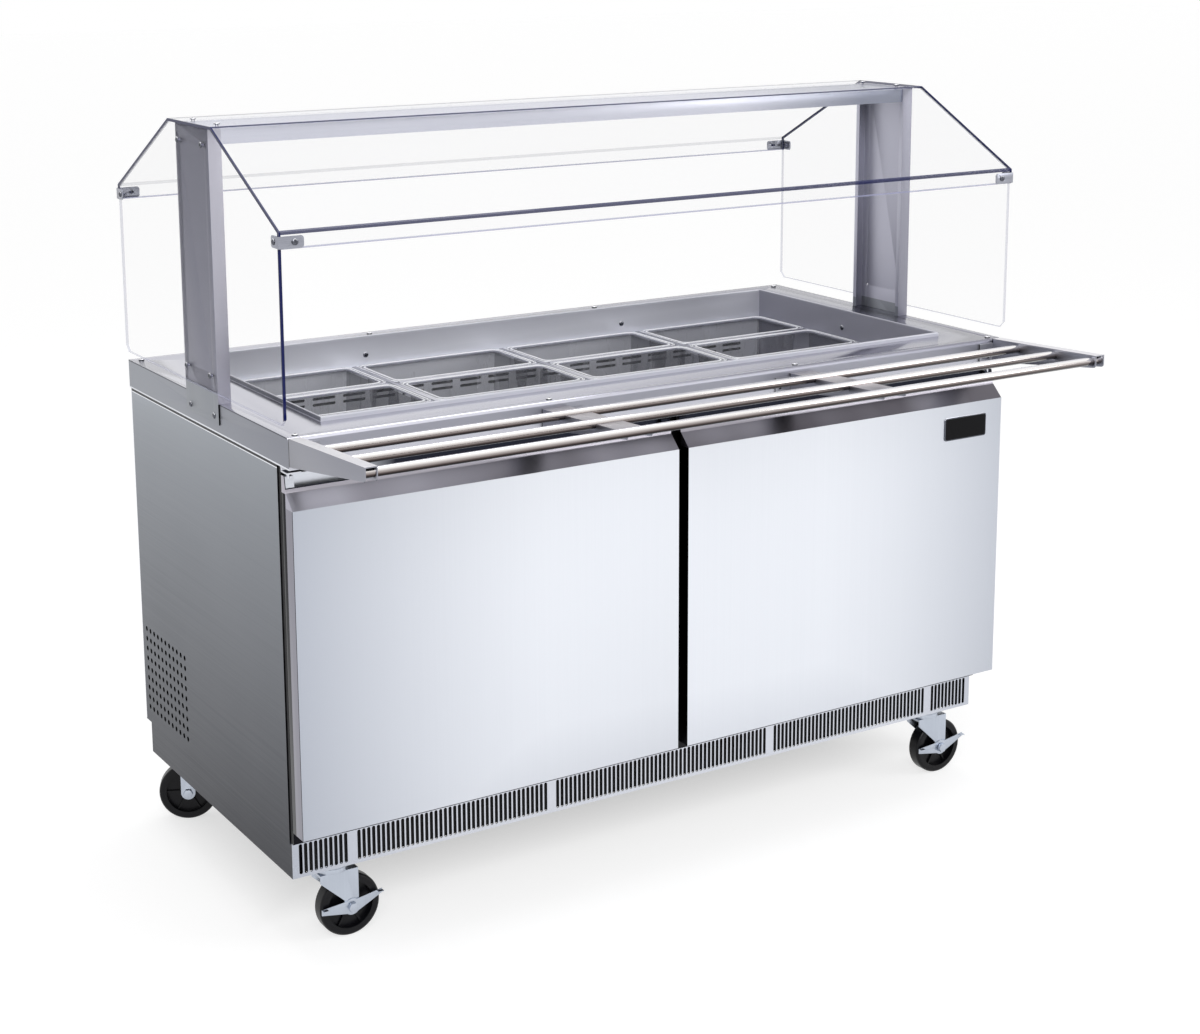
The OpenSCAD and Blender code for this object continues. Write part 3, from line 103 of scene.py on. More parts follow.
# %% A field that can be used in sums
class Field:
    def __init__(self, finish, socket):
        self.finish = finish
        self.socket = socket

    def math(self, operation, *values):
        node = self.finish.add("ShaderNodeMath", {"operation": operation}, *values)
        return Field(self.finish, node.outputs[0])

    def __add__(self, other):
        return self.math("ADD", self, other)

    __radd__ = __add__

    def __sub__(self, other):
        return self.math("SUBTRACT", self, other)

    def __rsub__(self, other):
        return self.math("SUBTRACT", other, self)

    def __mul__(self, other):
        return self.math("MULTIPLY", self, other)

    def __gt__(self, other):
        return self.math("GREATER_THAN", self, other)

    def __lt__(self, other):
        return self.math("LESS_THAN", self, other)

    def power(self, other):
        return self.math("POWER", self, other)

    def size(self):
        return self.math("ABSOLUTE", self)

    def either(self, other):
        return self.math("MAXIMUM", self, other)

    def both(self, other):
        return self.math("MINIMUM", self, other)

    def within(self, low, high):
        return (self > low).both(self < high)


# %% [markdown]
# ## A finish
# A finish is one material with a Principled shader.
# It starts with the place of the point on the object, in metres, so that grain, wiping marks
# and painted shade stay fixed to the piece when a door swings or a wheel rolls.

# %% The finish class
class Finish:
    def __init__(self, name, **constants):
        self.material = bpy.data.materials.new(name)
        self.material.use_nodes = True
        self.tree = self.material.node_tree
        self.tree.nodes.clear()
        self.shader = self.add("ShaderNodeBsdfPrincipled")
        output = self.add("ShaderNodeOutputMaterial")
        self.tree.links.new(self.shader.outputs[0], output.inputs["Surface"])
        for key, value in constants.items():
            socket = key.replace("_", " ").title().replace("Ior", "IOR")
            self.shader.inputs[socket].default_value = value
        self.place = Field(self, self.add("ShaderNodeTexCoord").outputs["Object"])

    def add(self, kind, settings=None, *values, **named):
        """Adds a node, sets it up, and fills its sockets with values or links."""
        node = self.tree.nodes.new(kind)
        for key, value in (settings or {}).items():
            setattr(node, key, value)
        by_name = [(node.inputs[key], value) for key, value in named.items()]
        for socket, value in list(zip(node.inputs, values)) + by_name:
            self.fill(socket, value)
        return node

    def fill(self, socket, value):
        if isinstance(value, Field):
            self.tree.links.new(value.socket, socket)
        else:
            socket.default_value = value

    def axes(self):
        """The three coordinates of the point."""
        parts = self.add("ShaderNodeSeparateXYZ", None, self.place)
        return [Field(self, s) for s in parts.outputs]

    def facing(self):
        """The three parts of the face's direction on the piece itself, also when it has turned."""
        flat = Field(self, self.add("ShaderNodeNewGeometry").outputs["True Normal"])
        own = self.add("ShaderNodeVectorTransform", {
            "vector_type": "NORMAL", "convert_from": "WORLD", "convert_to": "OBJECT"}, flat)
        parts = self.add("ShaderNodeSeparateXYZ", None, Field(self, own.outputs[0]))
        return [Field(self, s) for s in parts.outputs]

    def noise(self, scale, detail=2.0, stretch=(1, 1, 1), rough=0.5):
        """Noise from 0 to 1, with a middle of 0.5, stretched along an axis."""
        spot = self.add("ShaderNodeVectorMath", {"operation": "MULTIPLY"}, self.place, stretch)
        made = self.add("ShaderNodeTexNoise", None, Field(self, spot.outputs[0]),
                        Scale=scale, Detail=detail, Roughness=rough)
        return Field(self, made.outputs[0])

    def blend(self, share, first, second):
        """A colour that goes from the first to the second."""
        node = self.add("ShaderNodeMix", {"data_type": "RGBA"})
        for key, value in (("Factor_Float", share), ("A_Color", first), ("B_Color", second)):
            self.fill(next(s for s in node.inputs if s.identifier == key), value)
        return Field(self, next(s for s in node.outputs if s.identifier == "Result_Color"))

    def reading(self, name):
        """A number that each point of the mesh carries."""
        return Field(self, self.add("ShaderNodeAttribute", {"attribute_name": name}).outputs["Fac"])

    def ramp(self, value, low, high):
        """A value stretched so that low becomes 0 and high becomes 1."""
        node = self.add("ShaderNodeMapRange", None, value, low, high, 0.0, 1.0)
        return Field(self, node.outputs[0])

    def stops(self, value, colours):
        """A colour picked along a value from 0 to 1, from a list of places and colours."""
        node = self.add("ShaderNodeValToRGB", None, value)
        band = node.color_ramp
        band.elements[0].position, band.elements[1].position = colours[0][0], colours[-1][0]
        for place, colour in colours[1:-1]:
            band.elements.new(place)
        for element, (place, colour) in zip(band.elements, colours):
            element.color = colour
        return Field(self, node.outputs[0])

    def feed(self, **sockets):
        for key, value in sockets.items():
            self.fill(self.shader.inputs[key.replace("_", " ")], value)

    def bump(self, height, strength, distance=0.001):
        node = self.add("ShaderNodeBump", None, Strength=strength, Distance=distance,
                        Height=height)
        self.fill(self.shader.inputs["Normal"], Field(self, node.outputs[0]))
        return self


def tone(red, green, blue):
    """A colour as it is read off a screen, from 0 to 255, in the renderer's own scale."""
    def straight(c):
        c = c / 255
        return c / 12.92 if c <= 0.04045 else ((c + 0.055) / 1.055) ** 2.4
    return (straight(red), straight(green), straight(blue), 1.0)


print("a mid grey of 128 is", round(tone(128, 128, 128)[0], 3), "in the renderer")

# %% [markdown]
# ## Brushed stainless steel
# The sheets of such a counter are stainless steel, ground with a belt that leaves fine
# straight lines all in one direction. Noise stretched along the grain gives these lines.
# It moves the colour a little, the gloss more, and the surface by a hair.
# Faint cloudy patches stand for the wiping that every steel counter gets.

# %% Brushed steel in several tones
GRAINS = {"x": (0.004, 1, 1), "y": (1, 0.004, 1), "z": (1, 1, 0.004)}
GRAIN_SCALE, CLOUD_SCALE = 420, 3.2


def brushed(name, dark, light, grain, gloss, shade=None, lines=0.10, metal=1.0, dull=None):
    """Brushed metal between two tones. lines is how strongly the grain shows,
    shade paints shade and reflections into the colour by place or direction, and dull picks
    the faces that mirror less sharply."""
    finish = Finish(name, metallic=metal)
    streaks = finish.noise(GRAIN_SCALE, 3, GRAINS[grain], 0.65)
    clouds = finish.noise(CLOUD_SCALE, 2)
    share = 0.5 + (streaks - 0.5) * lines * 6 + (clouds - 0.5) * 0.25
    colour = finish.blend(share, dark, light)
    if shade:
        colour = shade(finish, colour)
    finish.feed(Base_Color=colour)
    rough = gloss + (streaks - 0.5) * lines * 2 + (clouds - 0.5) * 0.10
    finish.feed(Roughness=rough + dull(finish) * 0.3 if dull else rough)
    return finish.bump(streaks, 0.06, 0.0005).material


# %% [markdown]
# ## What the steel mirrors
# In a studio the panels mirror more than the white room, so that a panel falls from pale to
# dark towards its foot or its outer edge. No dark surroundings stand in this scene: each shade
# below paints one such fall into the colour, as painted shade and painted reflection, laid on
# the piece by its own coordinates.

# %% The places that the falls refer to
def far(node):
    """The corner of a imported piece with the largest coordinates."""
    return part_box(node)[1]


FACING = 0.7  # a face whose direction has this share of an axis looks along that axis
SKIN = 0.0045  # what lies deeper than this behind the base's outside is its inside
BODY_INSIDE, BODY_BACK = far("base_frame").x - SKIN, far("base_frame").y - SKIN
PANEL_TOP, COUNTER_Z = far("side_panel_left").z, far("counter_top").z
END_FOOT, TRAY_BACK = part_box("guard_end_left")[0].z, far("tray_brackets").y
FACE_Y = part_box("door_skin_left")[0].y
# behind this depth the inner walls of the grille's slots are painted black, as shade
SLOT_BACK = FACE_Y + 0.0625  # the slots of the grille look black from here on
SLOPE_FOOT = 0.8085  # where the slope of a door starts
LIP_Z, LIP_Y = SLOPE_FOOT + 0.0245, FACE_Y + 0.0262  # the lip at its upper end
HINGES_MIDDLE = 0.4  # between the lower hinges and the upper ones
FASCIA_FOOT, FASCIA_TOP = (0.896, 0.906), 0.924  # the front fascia below the round nose
FLANGE_FOOT = 0.884  # the bracket flanges on the fascia, from, to and up to:
FLANGES = ((0.209, 0.243, 0.914), (0.7115, 0.7455, 0.922))
# painted shadow line and painted highlight line under the top edge of a side panel
WHITE_SEAM, BLACK_SEAM = 0.0062, 0.0080  # the lines under the top edge of a side panel
GAP_FOOT = 0.215  # the gaps beside the doors start here
# outside this part a door's side is painted dark, as the shade of the gaps beside it
DOOR_GREY = (FACE_Y + 0.0022, FACE_Y + 0.028)  # the part of a door's side that is grey
# these inner sides are painted black, as the shade between the doors
DOOR_INNER = 0.0125  # the inner sides of the doors lie nearer to the middle than this
# a painted dark line along the counter's fold and a painted pale line at the foot of its skirt
COUNTER_FOLD, SKIRT_LINE = COUNTER_Z - 0.0022, PANEL_TOP + 0.0028
# the end brackets are painted less pale on top than the middle ones, and a painted dark seam runs
# where they meet the counter
END_BRACKETS, TRAY_SEAM = 0.7, 0.0026
WELL_SIDE = 0.5  # the side walls of the well are further out than this
# painted black, for the shade in gaps and behind the bracket flanges
BLACK = tone(12, 12, 15)

# Where each painted fall of shade begins and where it ends
SIDE_FALL, SIDE_MIDDLE, SIDE_LEAN = (0.90, 0.12), 0.14, 0.10
END_FALL, FOOT_FALL, POST_FALL = (0.30, 0.83), (0.34, 0.20), (1.35, 0.95)
TOP_FALL, SKIRT_FALL, BEAM_FALL = (-0.3, 0.7), (0.5, -0.25), (0.30, 0.64)
WELL_FALL, WELL_RISE = (-0.5, 0.7), (0.885, 0.93)
GRIP_ENDS, GRIP_FALL = (0.66, 0.56), (-0.3, 0.1)


# %% The painted falls of shade on each sheet
def panel_shade(finish, colour):
    """The side is painted from pale at the top to dark at the foot, and a little to the front, as
    painted shade. Its inside and its front edges in the gaps beside the doors are painted near
    black, as shade, and a painted shadow line with a painted highlight line below it runs under
    its top edge.
    """
    x, y, z = finish.axes()
    fall = finish.ramp(z + (y - SIDE_MIDDLE) * SIDE_LEAN, *SIDE_FALL)
    inside = (x.size() < BODY_INSIDE).both(y < BODY_BACK)
    # painted shade: the side darkens towards its foot
    painted_fall = finish.blend(fall.power(0.6), colour, tone(14, 18, 32))
    seam = finish.blend(z > PANEL_TOP - WHITE_SEAM, tone(232, 234, 240), tone(24, 26, 30))
    edged = finish.blend(z > PANEL_TOP - BLACK_SEAM, painted_fall, seam)
    front = (finish.facing()[1] < -FACING).both(z > GAP_FOOT)
    return finish.blend(inside.either(front), edged, tone(16, 16, 19))


def front_shade(finish, colour):
    """Doors and grille are painted greyer towards both ends of the counter and towards the foot,
    as painted shade, and the inner walls of the grille's slots are painted black, as shade.
    """
    x, y, z = finish.axes()
    end = finish.ramp(x.size() - x * 0.06, *END_FALL)
    foot = finish.ramp(z, *FOOT_FALL)
    grey = (end.power(1.4) * 0.95).either(foot * 0.30)
    flat = finish.blend(grey, colour, tone(172, 177, 188))
    return finish.blend(y > SLOT_BACK, flat, tone(9, 9, 11))


def door_shade(finish, colour):
    """The slope along the door top is painted in soft dark patches, a painted reflection of the
    dark gap over it. The sides are painted greyer than the face and painted dark towards the gap
    behind, as its shade."""
    x, y, z = finish.axes()
    nx, _, nz = finish.facing()
    side = finish.blend(y.within(*DOOR_GREY), tone(18, 19, 24), tone(142, 141, 150))
    # painted shade: the inner sides of the doors are black
    side = finish.blend(x.size() < DOOR_INNER, side, BLACK)
    flat = finish.blend(nx.size() > FACING, front_shade(finish, colour), side)
    slope = (z > SLOPE_FOOT).both(y.within(FACE_Y + 0.0004, LIP_Y))
    patches = finish.noise(2.6, 2, (1, 0.2, 0.2))
    depth = finish.ramp(patches - x * 0.20 - x.either(0) * 0.12, 0.40, 0.60)
    dark = finish.blend(depth, tone(98, 95, 102), tone(172, 171, 182))
    lip = finish.blend(z > LIP_Z, finish.blend(slope, flat, dark), tone(176, 173, 182))
    # painted reflection: faces above the lip that look up, and those behind it, are dark navy, as
    # the counter's dark underside
    hidden = (z > LIP_Z + 0.0015).both(nz > 0.4).either(y > LIP_Y + 0.001)
    return finish.blend(hidden.both(nx.size() < FACING), lip, tone(30, 32, 44))


def counter_shade(finish, colour):
    """The top is painted pale at the left and greyer at the right, and the fascias darker, as
    painted shade and reflection. A painted dark line runs along the fold and a painted pale line
    along the foot of the skirt, and the underside is painted dark, as shade. The fascia is
    painted black behind the bracket flanges, as the shade that only their slots show."""
    x, y, z = finish.axes()
    nx, ny, nz = finish.facing()
    top = finish.blend(finish.ramp(x, *TOP_FALL) * 0.9, colour, tone(136, 136, 149))
    ends = finish.blend(finish.ramp(y, *SKIRT_FALL), tone(158, 161, 168), tone(143, 145, 153))
    fold = (z > COUNTER_FOLD).both(nz < 0.9)
    ends = finish.blend(z < SKIRT_LINE, ends, tone(226, 228, 234))
    ends = finish.blend(fold, ends, tone(92, 94, 102))
    fascia = finish.blend(finish.ramp(z, *FASCIA_FOOT), tone(196, 197, 206), tone(156, 157, 167))
    looks_front = ny < -0.8
    front = finish.blend(looks_front.both(z < FASCIA_TOP), top, fascia)
    for inner, outer, up_to in FLANGES:
        behind = x.size().within(inner, outer).both(z.within(FLANGE_FOOT, up_to))
        front = finish.blend(behind.both(looks_front).both(y < 0), front, BLACK)
    sides = finish.blend(nx.size() > FACING, front, ends)
    return finish.blend(nz < -0.3, sides, tone(90, 90, 98))


def upright(finish):
    """Every face that doesn't look up."""
    return finish.facing()[2] < FACING


def bracket_shade(finish, colour):
    """The brackets are painted pale on top, as painted light, and dark where they meet the counter
    and underneath, as painted shade.
    """
    x, y, _ = finish.axes()
    nx, _, nz = finish.facing()
    above = finish.blend(x.size() > END_BRACKETS, tone(170, 167, 172), tone(222, 221, 225))
    lit = finish.blend(nz > 0.8, colour, above)
    seam = (y > TRAY_BACK - TRAY_SEAM).both(nx.size() > FACING)
    return finish.blend(seam.either(nz < -FACING), lit, tone(26, 26, 30))


def screw_shade(finish, colour):
    """A dome is painted bright where it looks up, a painted highlight, and dark round its foot, as
    painted shade.
    """
    return finish.blend(finish.ramp(finish.facing()[2], 0.25, 0.85), colour, tone(236, 236, 240))


def hinge_shade(finish, colour):
    """The upper hinges catch the light and the lower ones lie in the dark."""
    return finish.blend(finish.axes()[2] < HINGES_MIDDLE, colour, tone(26, 26, 30))


def well_shade(finish, colour):
    """The right wall of the well is painted darker, as painted shade where it looks away from the
    light. The walls are painted greyer towards the right and towards the top, and the lip is
    painted dark outside, as shade.
    """
    x, _, z = finish.axes()
    nx = finish.facing()[0]
    right = (nx < -FACING).both(x > WELL_SIDE)
    fade = finish.ramp(x, *WELL_FALL) * 0.40
    grey = right.either(fade.either(finish.ramp(z, *WELL_RISE) * 0.5))
    shaded = finish.blend(grey, colour, tone(150, 150, 162))
    lip = (z > COUNTER_Z + 0.0006).both(nx < -FACING).both(x < -WELL_SIDE)
    return finish.blend(lip, shaded, tone(96, 98, 108))


def post_shade(finish, colour):
    """The web of a post is painted grey, paler towards its foot and on the right post, its front
    flange pale, and its tab as bright as the counter's side; below the counter the flange is
    painted black. These are painted shade and painted reflection."""
    x, _, z = finish.axes()
    ny = finish.facing()[1]
    web = finish.blend(finish.ramp(z, *POST_FALL), colour, tone(142, 142, 153))
    web = finish.blend(x > 0, web, tone(192, 192, 204))
    web = finish.blend(z < END_FOOT, web, tone(150, 153, 159))
    flange = finish.blend(x > 0, tone(178, 177, 187), tone(150, 150, 161))
    flange = finish.blend(z < COUNTER_Z, flange, tone(14, 14, 18))
    return finish.blend(ny.size() > FACING, web, flange)


def beam_shade(finish, colour):
    """The beam is painted darker towards the right post, as painted shade."""
    grey = finish.ramp(finish.axes()[0], *BEAM_FALL) * 0.95
    return finish.blend(grey, colour, tone(132, 136, 150))


def tube_shade(finish, colour):
    """A polished tube is painted with a painted reflection of the white room above and the dark
    gap below.
    """
    return finish.stops(finish.reading("level"), [
        (0.0, tone(58, 56, 62)), (0.12, tone(32, 28, 30)), (0.28, tone(44, 38, 38)),
        (0.42, tone(100, 90, 88)), (0.55, tone(160, 152, 150)), (0.66, tone(194, 187, 185)),
        (0.76, tone(236, 232, 230)), (0.87, tone(255, 253, 251)), (1.0, tone(216, 215, 222))])


def grip_shade(finish, colour):
    """The plate behind the finger groove is painted pale at the ends of the doors and dark between,
    as painted shade.
    """
    x = finish.axes()[0]
    between = finish.ramp(x.size(), *GRIP_ENDS).either(finish.ramp(x, *GRIP_FALL))
    return finish.blend(between, colour, tone(38, 40, 50))


# %% [markdown]
# ## The table of brushed finishes
# Each line gives the dark and the light tone, the way the grain runs, the gloss, and what
# is special to the finish.

# %% Make the brushed finishes
BRUSHED = {
    "body_steel": ((150, 155, 163), (164, 169, 176), "y", 0.34, {"shade": panel_shade}),
    "grille_steel": ((204, 206, 214), (226, 228, 235), "x", 0.30, {"shade": front_shade}),
    "plain_steel": ((196, 198, 206), (226, 228, 234), "x", 0.30, {}),
    "hinge_steel": ((196, 198, 206), (226, 228, 234), "x", 0.30, {"shade": hinge_shade}),
    "counter_steel": ((190, 190, 200), (202, 202, 212), "x", 0.20,
                      {"shade": counter_shade, "lines": 0.05, "dull": upright}),
    "well_steel": ((222, 224, 234), (244, 245, 250), "x", 0.34,
                   {"shade": well_shade, "lines": 0.03, "metal": 0.3}),
    "door_steel": ((218, 221, 228), (233, 236, 242), "z", 0.32,
                   {"shade": door_shade, "lines": 0.06}),
    "grip_steel": ((196, 199, 208), (222, 225, 232), "x", 0.34, {"shade": grip_shade}),
    "bracket_steel": ((136, 137, 146), (160, 161, 170), "y", 0.40,
                      {"shade": bracket_shade, "lines": 0.04}),
    "tube_steel": ((205, 202, 200), (240, 238, 236), "x", 0.12, {"shade": tube_shade}),
    "post_aluminium": ((112, 113, 124), (128, 128, 140), "z", 0.52,
                       {"shade": post_shade, "lines": 0.05}),
    "beam_aluminium": ((192, 194, 206), (214, 215, 225), "x", 0.34, {"shade": beam_shade}),
    "clip_steel": ((132, 134, 144), (172, 174, 184), "x", 0.30, {}),
    "liner_aluminium": ((180, 182, 188), (214, 216, 220), "x", 0.40, {}),
    "screw_steel": ((62, 64, 72), (112, 114, 122), "x", 0.16, {"shade": screw_shade}),
    "caster_zinc": ((150, 158, 172), (206, 212, 222), "z", 0.30, {"lines": 0.04}),
    # the coils are dark, as painted shade, so that the vent holes in the sides look black
    "coil_aluminium": ((34, 36, 42), (78, 80, 86), "z", 0.40, {}),
}
FINISHES = {name: brushed(name, tone(*dark), tone(*light), grain, gloss, **special)
            for name, (dark, light, grain, gloss, special) in BRUSHED.items()}
print("brushed finishes:", len(FINISHES))

# %% [markdown]
# ## Rubber, plastic, foam and paint
# The dark pieces are matt and never quite black: moulded plastic shows a fine pebble,
# rubber has a dusty bloom, and the cast paint of the compressor is slightly orange-peeled.

# %% Moulded and painted finishes
def moulded(name, dark, light, gloss, pebble, strength=0.15, scale=9, ior=1.5, shade=None):
    """A matt finish between two tones. pebble and strength set the fine grain of the
    surface, and scale the size of the cloudy bloom on it."""
    finish = Finish(name, metallic=0.0, ior=ior)
    fine = finish.noise(pebble, 2)
    bloom = finish.noise(scale, 3)
    colour = finish.blend(bloom, dark, light)
    finish.feed(Base_Color=shade(finish, colour) if shade else colour)
    finish.feed(Roughness=gloss + (bloom - 0.5) * 0.2)
    return finish.bump(fine, strength, 0.0004).material


DUCT_Y, DUCT_FOOT = far("well_liner").y - 0.004, 0.70


def duct_shade(finish, colour):
    """The foam behind the air slots of the well is painted black there, as the shade seen through
    the slots.
    """
    _, y, z = finish.axes()
    # painted shade behind the air slots of the well
    painted_slot_shade = (y > DUCT_Y).both(finish.facing()[1] < -FACING).both(z > DUCT_FOOT)
    return finish.blend(painted_slot_shade, colour, tone(14, 14, 18))


MOULDED = {
    "black_plastic": ((10, 10, 12), (24, 24, 28), 0.45, 700, {"ior": 1.3}),
    "gasket_rubber": ((8, 8, 10), (20, 20, 22), 0.6, 500, {"ior": 1.25}),
    "wheel_black": ((5, 5, 8), (15, 15, 20), 0.34, 600, {"ior": 1.3}),
    "badge_black": ((6, 6, 8), (13, 13, 16), 0.5, 400, {"strength": 0.05, "ior": 1.2}),
    "insulation": ((214, 198, 140), (232, 220, 172), 0.9, 260,
                   {"strength": 0.5, "scale": 30, "shade": duct_shade}),
    "door_insulation": ((196, 200, 206), (216, 220, 226), 0.5, 320, {"strength": 0.1}),
    "compressor_paint": ((18, 18, 20), (34, 34, 38), 0.3, 240, {"strength": 0.2}),
    "shelf_wire": ((222, 224, 226), (240, 241, 242), 0.35, 300, {"strength": 0.08}),
}
for name, (dark, light, gloss, pebble, special) in MOULDED.items():
    FINISHES[name] = moulded(name, tone(*dark), tone(*light), gloss, pebble, **special)
print("finishes so far:", len(FINISHES))

# %% [markdown]
# ## Clear sheet
# The guard is a clear sheet, so that hardly anything of its faces shows. What the eye sees
# are its cut edges, painted deep blue where light gathers in them and pale where they mirror
# the room: painted light and painted reflection.
# The share of the sheet that shows is low on the faces and high on the edges, which are
# found by the direction in which each face looks. A thin strip of the face beside a dark
# edge is painted as dark, since the edge is seen through it, and the folds of the roof are
# painted dark too.

# %% The clear sheet of the guard
NAVY, LILAC, PEARL = tone(16, 25, 84), tone(176, 178, 208), tone(166, 169, 184)
ROOF_LOW, ROOF_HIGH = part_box("guard_roof")
END_LOW, END_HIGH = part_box("guard_end_left")
SHEET = END_HIGH.x - END_LOW.x
STRIP = 0.0025
FOLD_REACH = 0.0045
ROOF_FLAT, EAVE_UP = 0.198, 0.337


def clear_sheet(name, dark_edge, pale_edge, folds=()):
    """dark_edge and pale_edge are masks of the cut edges. folds lists depth, height and share."""
    finish = Finish(name, metallic=0.0, roughness=0.06, ior=1.3)
    _, y, z = finish.axes()
    dark, pale = dark_edge(finish), pale_edge(finish)
    for depth, height, share in folds:
        near = ((y - depth).power(2) + (z - height).power(2)) < FOLD_REACH * FOLD_REACH
        dark = dark.either(near * share)
    light = finish.blend(pale, PEARL, LILAC)
    finish.feed(Base_Color=finish.blend(dark > 0.3, light, NAVY))
    finish.feed(Alpha=0.02 + dark * 0.98 + pale * 0.45)
    return finish.material


def sloped_edge(finish):
    """The cut ends of the roof and a thin strip of the sheet beside them are painted dark."""
    strip = finish.axes()[0].size() > ROOF_HIGH.x - STRIP
    return (finish.facing()[0].size() > FACING).either(strip)


def lip_edge(finish):
    """The lower cut edges of the two lips, and the flat over the beam, painted pale as a painted
    reflection of the room.
    """
    flat = finish.facing()[2] > 0.9
    return (finish.axes()[2] < ROOF_LOW.z + SHEET * 0.5).either(flat * 0.5)


def end_front(finish):
    """The front upright edge of the left end panel is painted dark."""
    x, y, _ = finish.axes()
    edge = (finish.facing()[1].size() > 0.9).either(y < END_LOW.y + STRIP)
    return edge.both(x < 0).both(y < 0)


def end_rest(finish):
    """The other cut edges are painted pale, and so is the sheet right beside them."""
    _, y, z = finish.axes()
    reach = SHEET * 0.2
    sides = (y < END_LOW.y + reach).either(y > END_HIGH.y - reach)
    rim = sides.either(z < END_LOW.z + reach)
    return rim.either(finish.facing()[0].size() < FACING) * 0.8


def roof_folds():
    """The four folds of the roof, painted dark, with the front ones darkest."""
    middle = (ROOF_LOW.y + ROOF_HIGH.y) / 2
    flat, eave = ROOF_FLAT / 2, COUNTER_Z + EAVE_UP
    return [(middle - flat, ROOF_HIGH.z, 0.9), (ROOF_LOW.y, eave, 0.9),
            (middle + flat, ROOF_HIGH.z, 0.4), (ROOF_HIGH.y, eave, 0.25)]


FINISHES["clear_sheet"] = clear_sheet("clear_sheet", sloped_edge, lip_edge, roof_folds())
FINISHES["clear_end"] = clear_sheet("clear_end", end_front, end_rest)

# %% [markdown]
# ## Clear pans
# The rim of a pan shows three pale lines, painted highlights along its edge, its groove and
# its inner edge. They are found by the distance from the rim's edge, which each point of a
# pan carries. The walls have faint upright streaks, and the right ones are painted dark, a
# painted reflection of the shaded side of the next pan.

# %% The finish of the pans
PAN_FLOOR, PAN_TOP = (corner.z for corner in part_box("pan_a1"))
# the painted highlight lines on a pan's rim lie at these distances from its edge
RIM_EDGE, RIM_LINES = 0.0016, ((0.0032, 0.0052), (0.0086, 0.0122))
RIM_FOOT, WALL_TOP, FLOOR_TOP = PAN_TOP - 0.0036, PAN_TOP - 0.006, PAN_FLOOR + 0.012


def clear_pan():
    """The clear finish of the pans, with painted highlight lines on the rim, painted dark right
    walls, and streaks on the walls.
    """
    finish = Finish("pan_clear", metallic=0.0, roughness=0.12, ior=1.58)
    nx, _, nz = finish.facing()
    z = finish.axes()[2]
    inset = finish.reading("inset")
    streak = finish.noise(60, 3, (1, 1, 0.15))
    rim = z > RIM_FOOT
    line = inset < RIM_EDGE
    for start, end in RIM_LINES:
        line = line.either(inset.within(start, end))
    floor = (z < FLOOR_TOP).both(nz.size() > 0.3)
    right = (nx < -0.8).both(z < WALL_TOP)
    # painted reflection: the right walls are dark
    wall = finish.blend(right, tone(204, 205, 214), tone(74, 75, 84))
    bright = finish.blend(line, tone(160, 162, 178), tone(250, 251, 255))
    finish.feed(Base_Color=finish.blend(rim, wall, bright))
    walls = (streak > 0.62) * 0.10 + floor * 0.05 + right * 0.42
    finish.feed(Alpha=0.05 + walls + rim * (0.48 + line * 0.46))
    finish.feed(Roughness=0.08 + streak * 0.1)
    return finish.material


FINISHES["pan_clear"] = clear_pan()
print("finishes in all:", len(FINISHES))

# %% [markdown]
# ## Dressing the pieces
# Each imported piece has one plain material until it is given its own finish.
# The table says which finish goes on each piece that is shown as it was packed.
# All the others are replaced further on, and their finishes go on the new pieces.

# %% Dress the pieces that stay as they are
CORNERS = ("fl", "fr", "bl", "br")
DRESS = {
    "body_steel": ["base_frame", "side_panel_left", "side_panel_right"],
    "grille_steel": ["kick_grille"],
    "plain_steel": ["back_panel", "rear_grille"],
    "well_steel": ["well_liner"],
    "grip_steel": ["door_grip_left", "door_grip_right"],
    "liner_aluminium": ["cabinet_liner", "shelf_supports"],
    "coil_aluminium": ["evaporator", "condenser"],
    "black_plastic": ["front_frame", "condenser_fan"],
    "gasket_rubber": ["door_gasket_left", "door_gasket_right"],
    "wheel_black": [f"caster_wheel_{corner}" for corner in CORNERS],
    "insulation": ["foam_core"],
    "door_insulation": ["door_core_left", "door_core_right"],
    "compressor_paint": ["compressor"],
    "shelf_wire": ["wire_shelves"],
    "clear_sheet": ["guard_roof"],
    "clear_end": ["guard_end_left", "guard_end_right"],
}


def wear(piece, finish):
    piece.data.materials.clear()
    piece.data.materials.append(FINISHES[finish])


for finish, names in DRESS.items():
    for name in names:
        wear(nodes[name], finish)
print("pieces shown as packed:", sum(map(len, DRESS.values())))

# %% [markdown]
# ## Rounded folds
# A folded sheet never has a knife edge, and the thin bright line along each fold is what
# makes steel look like steel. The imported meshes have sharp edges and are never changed,
# so a copy is taken, its loose triangles are joined, and every sharp edge is rounded.
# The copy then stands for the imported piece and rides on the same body.

# %% Make rounded copies of the folded pieces
BODIES = frame["record"]["behaviour"]["bodies"]
BODY_OF = {name: body for body, names in BODIES.items() for name in names}
SLOT_OF = {part["node"]: part["material_slot"] for part in frame["record"]["subparts"]}


def joined_copy(node):
    """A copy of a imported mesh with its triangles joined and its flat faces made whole."""
    work = bmesh.new()
    work.from_mesh(nodes[node].data)
    bmesh.ops.remove_doubles(work, verts=work.verts, dist=1e-6)
    bmesh.ops.dissolve_limit(work, angle_limit=math.radians(0.5),
                             verts=work.verts, edges=work.edges)
    mesh = bpy.data.meshes.new(node)
    work.to_mesh(mesh)
    work.free()
    return mesh


def smooth_by_angle(mesh, degrees):
    """Curved faces shade smoothly, and edges sharper than the angle stay crisp."""
    limit = math.radians(degrees)
    work = bmesh.new()
    work.from_mesh(mesh)
    for face in work.faces:
        face.smooth = True
    for edge in work.edges:
        edge.smooth = len(edge.link_faces) == 2 and edge.calc_face_angle(0) < limit
    work.to_mesh(mesh)
    work.free()


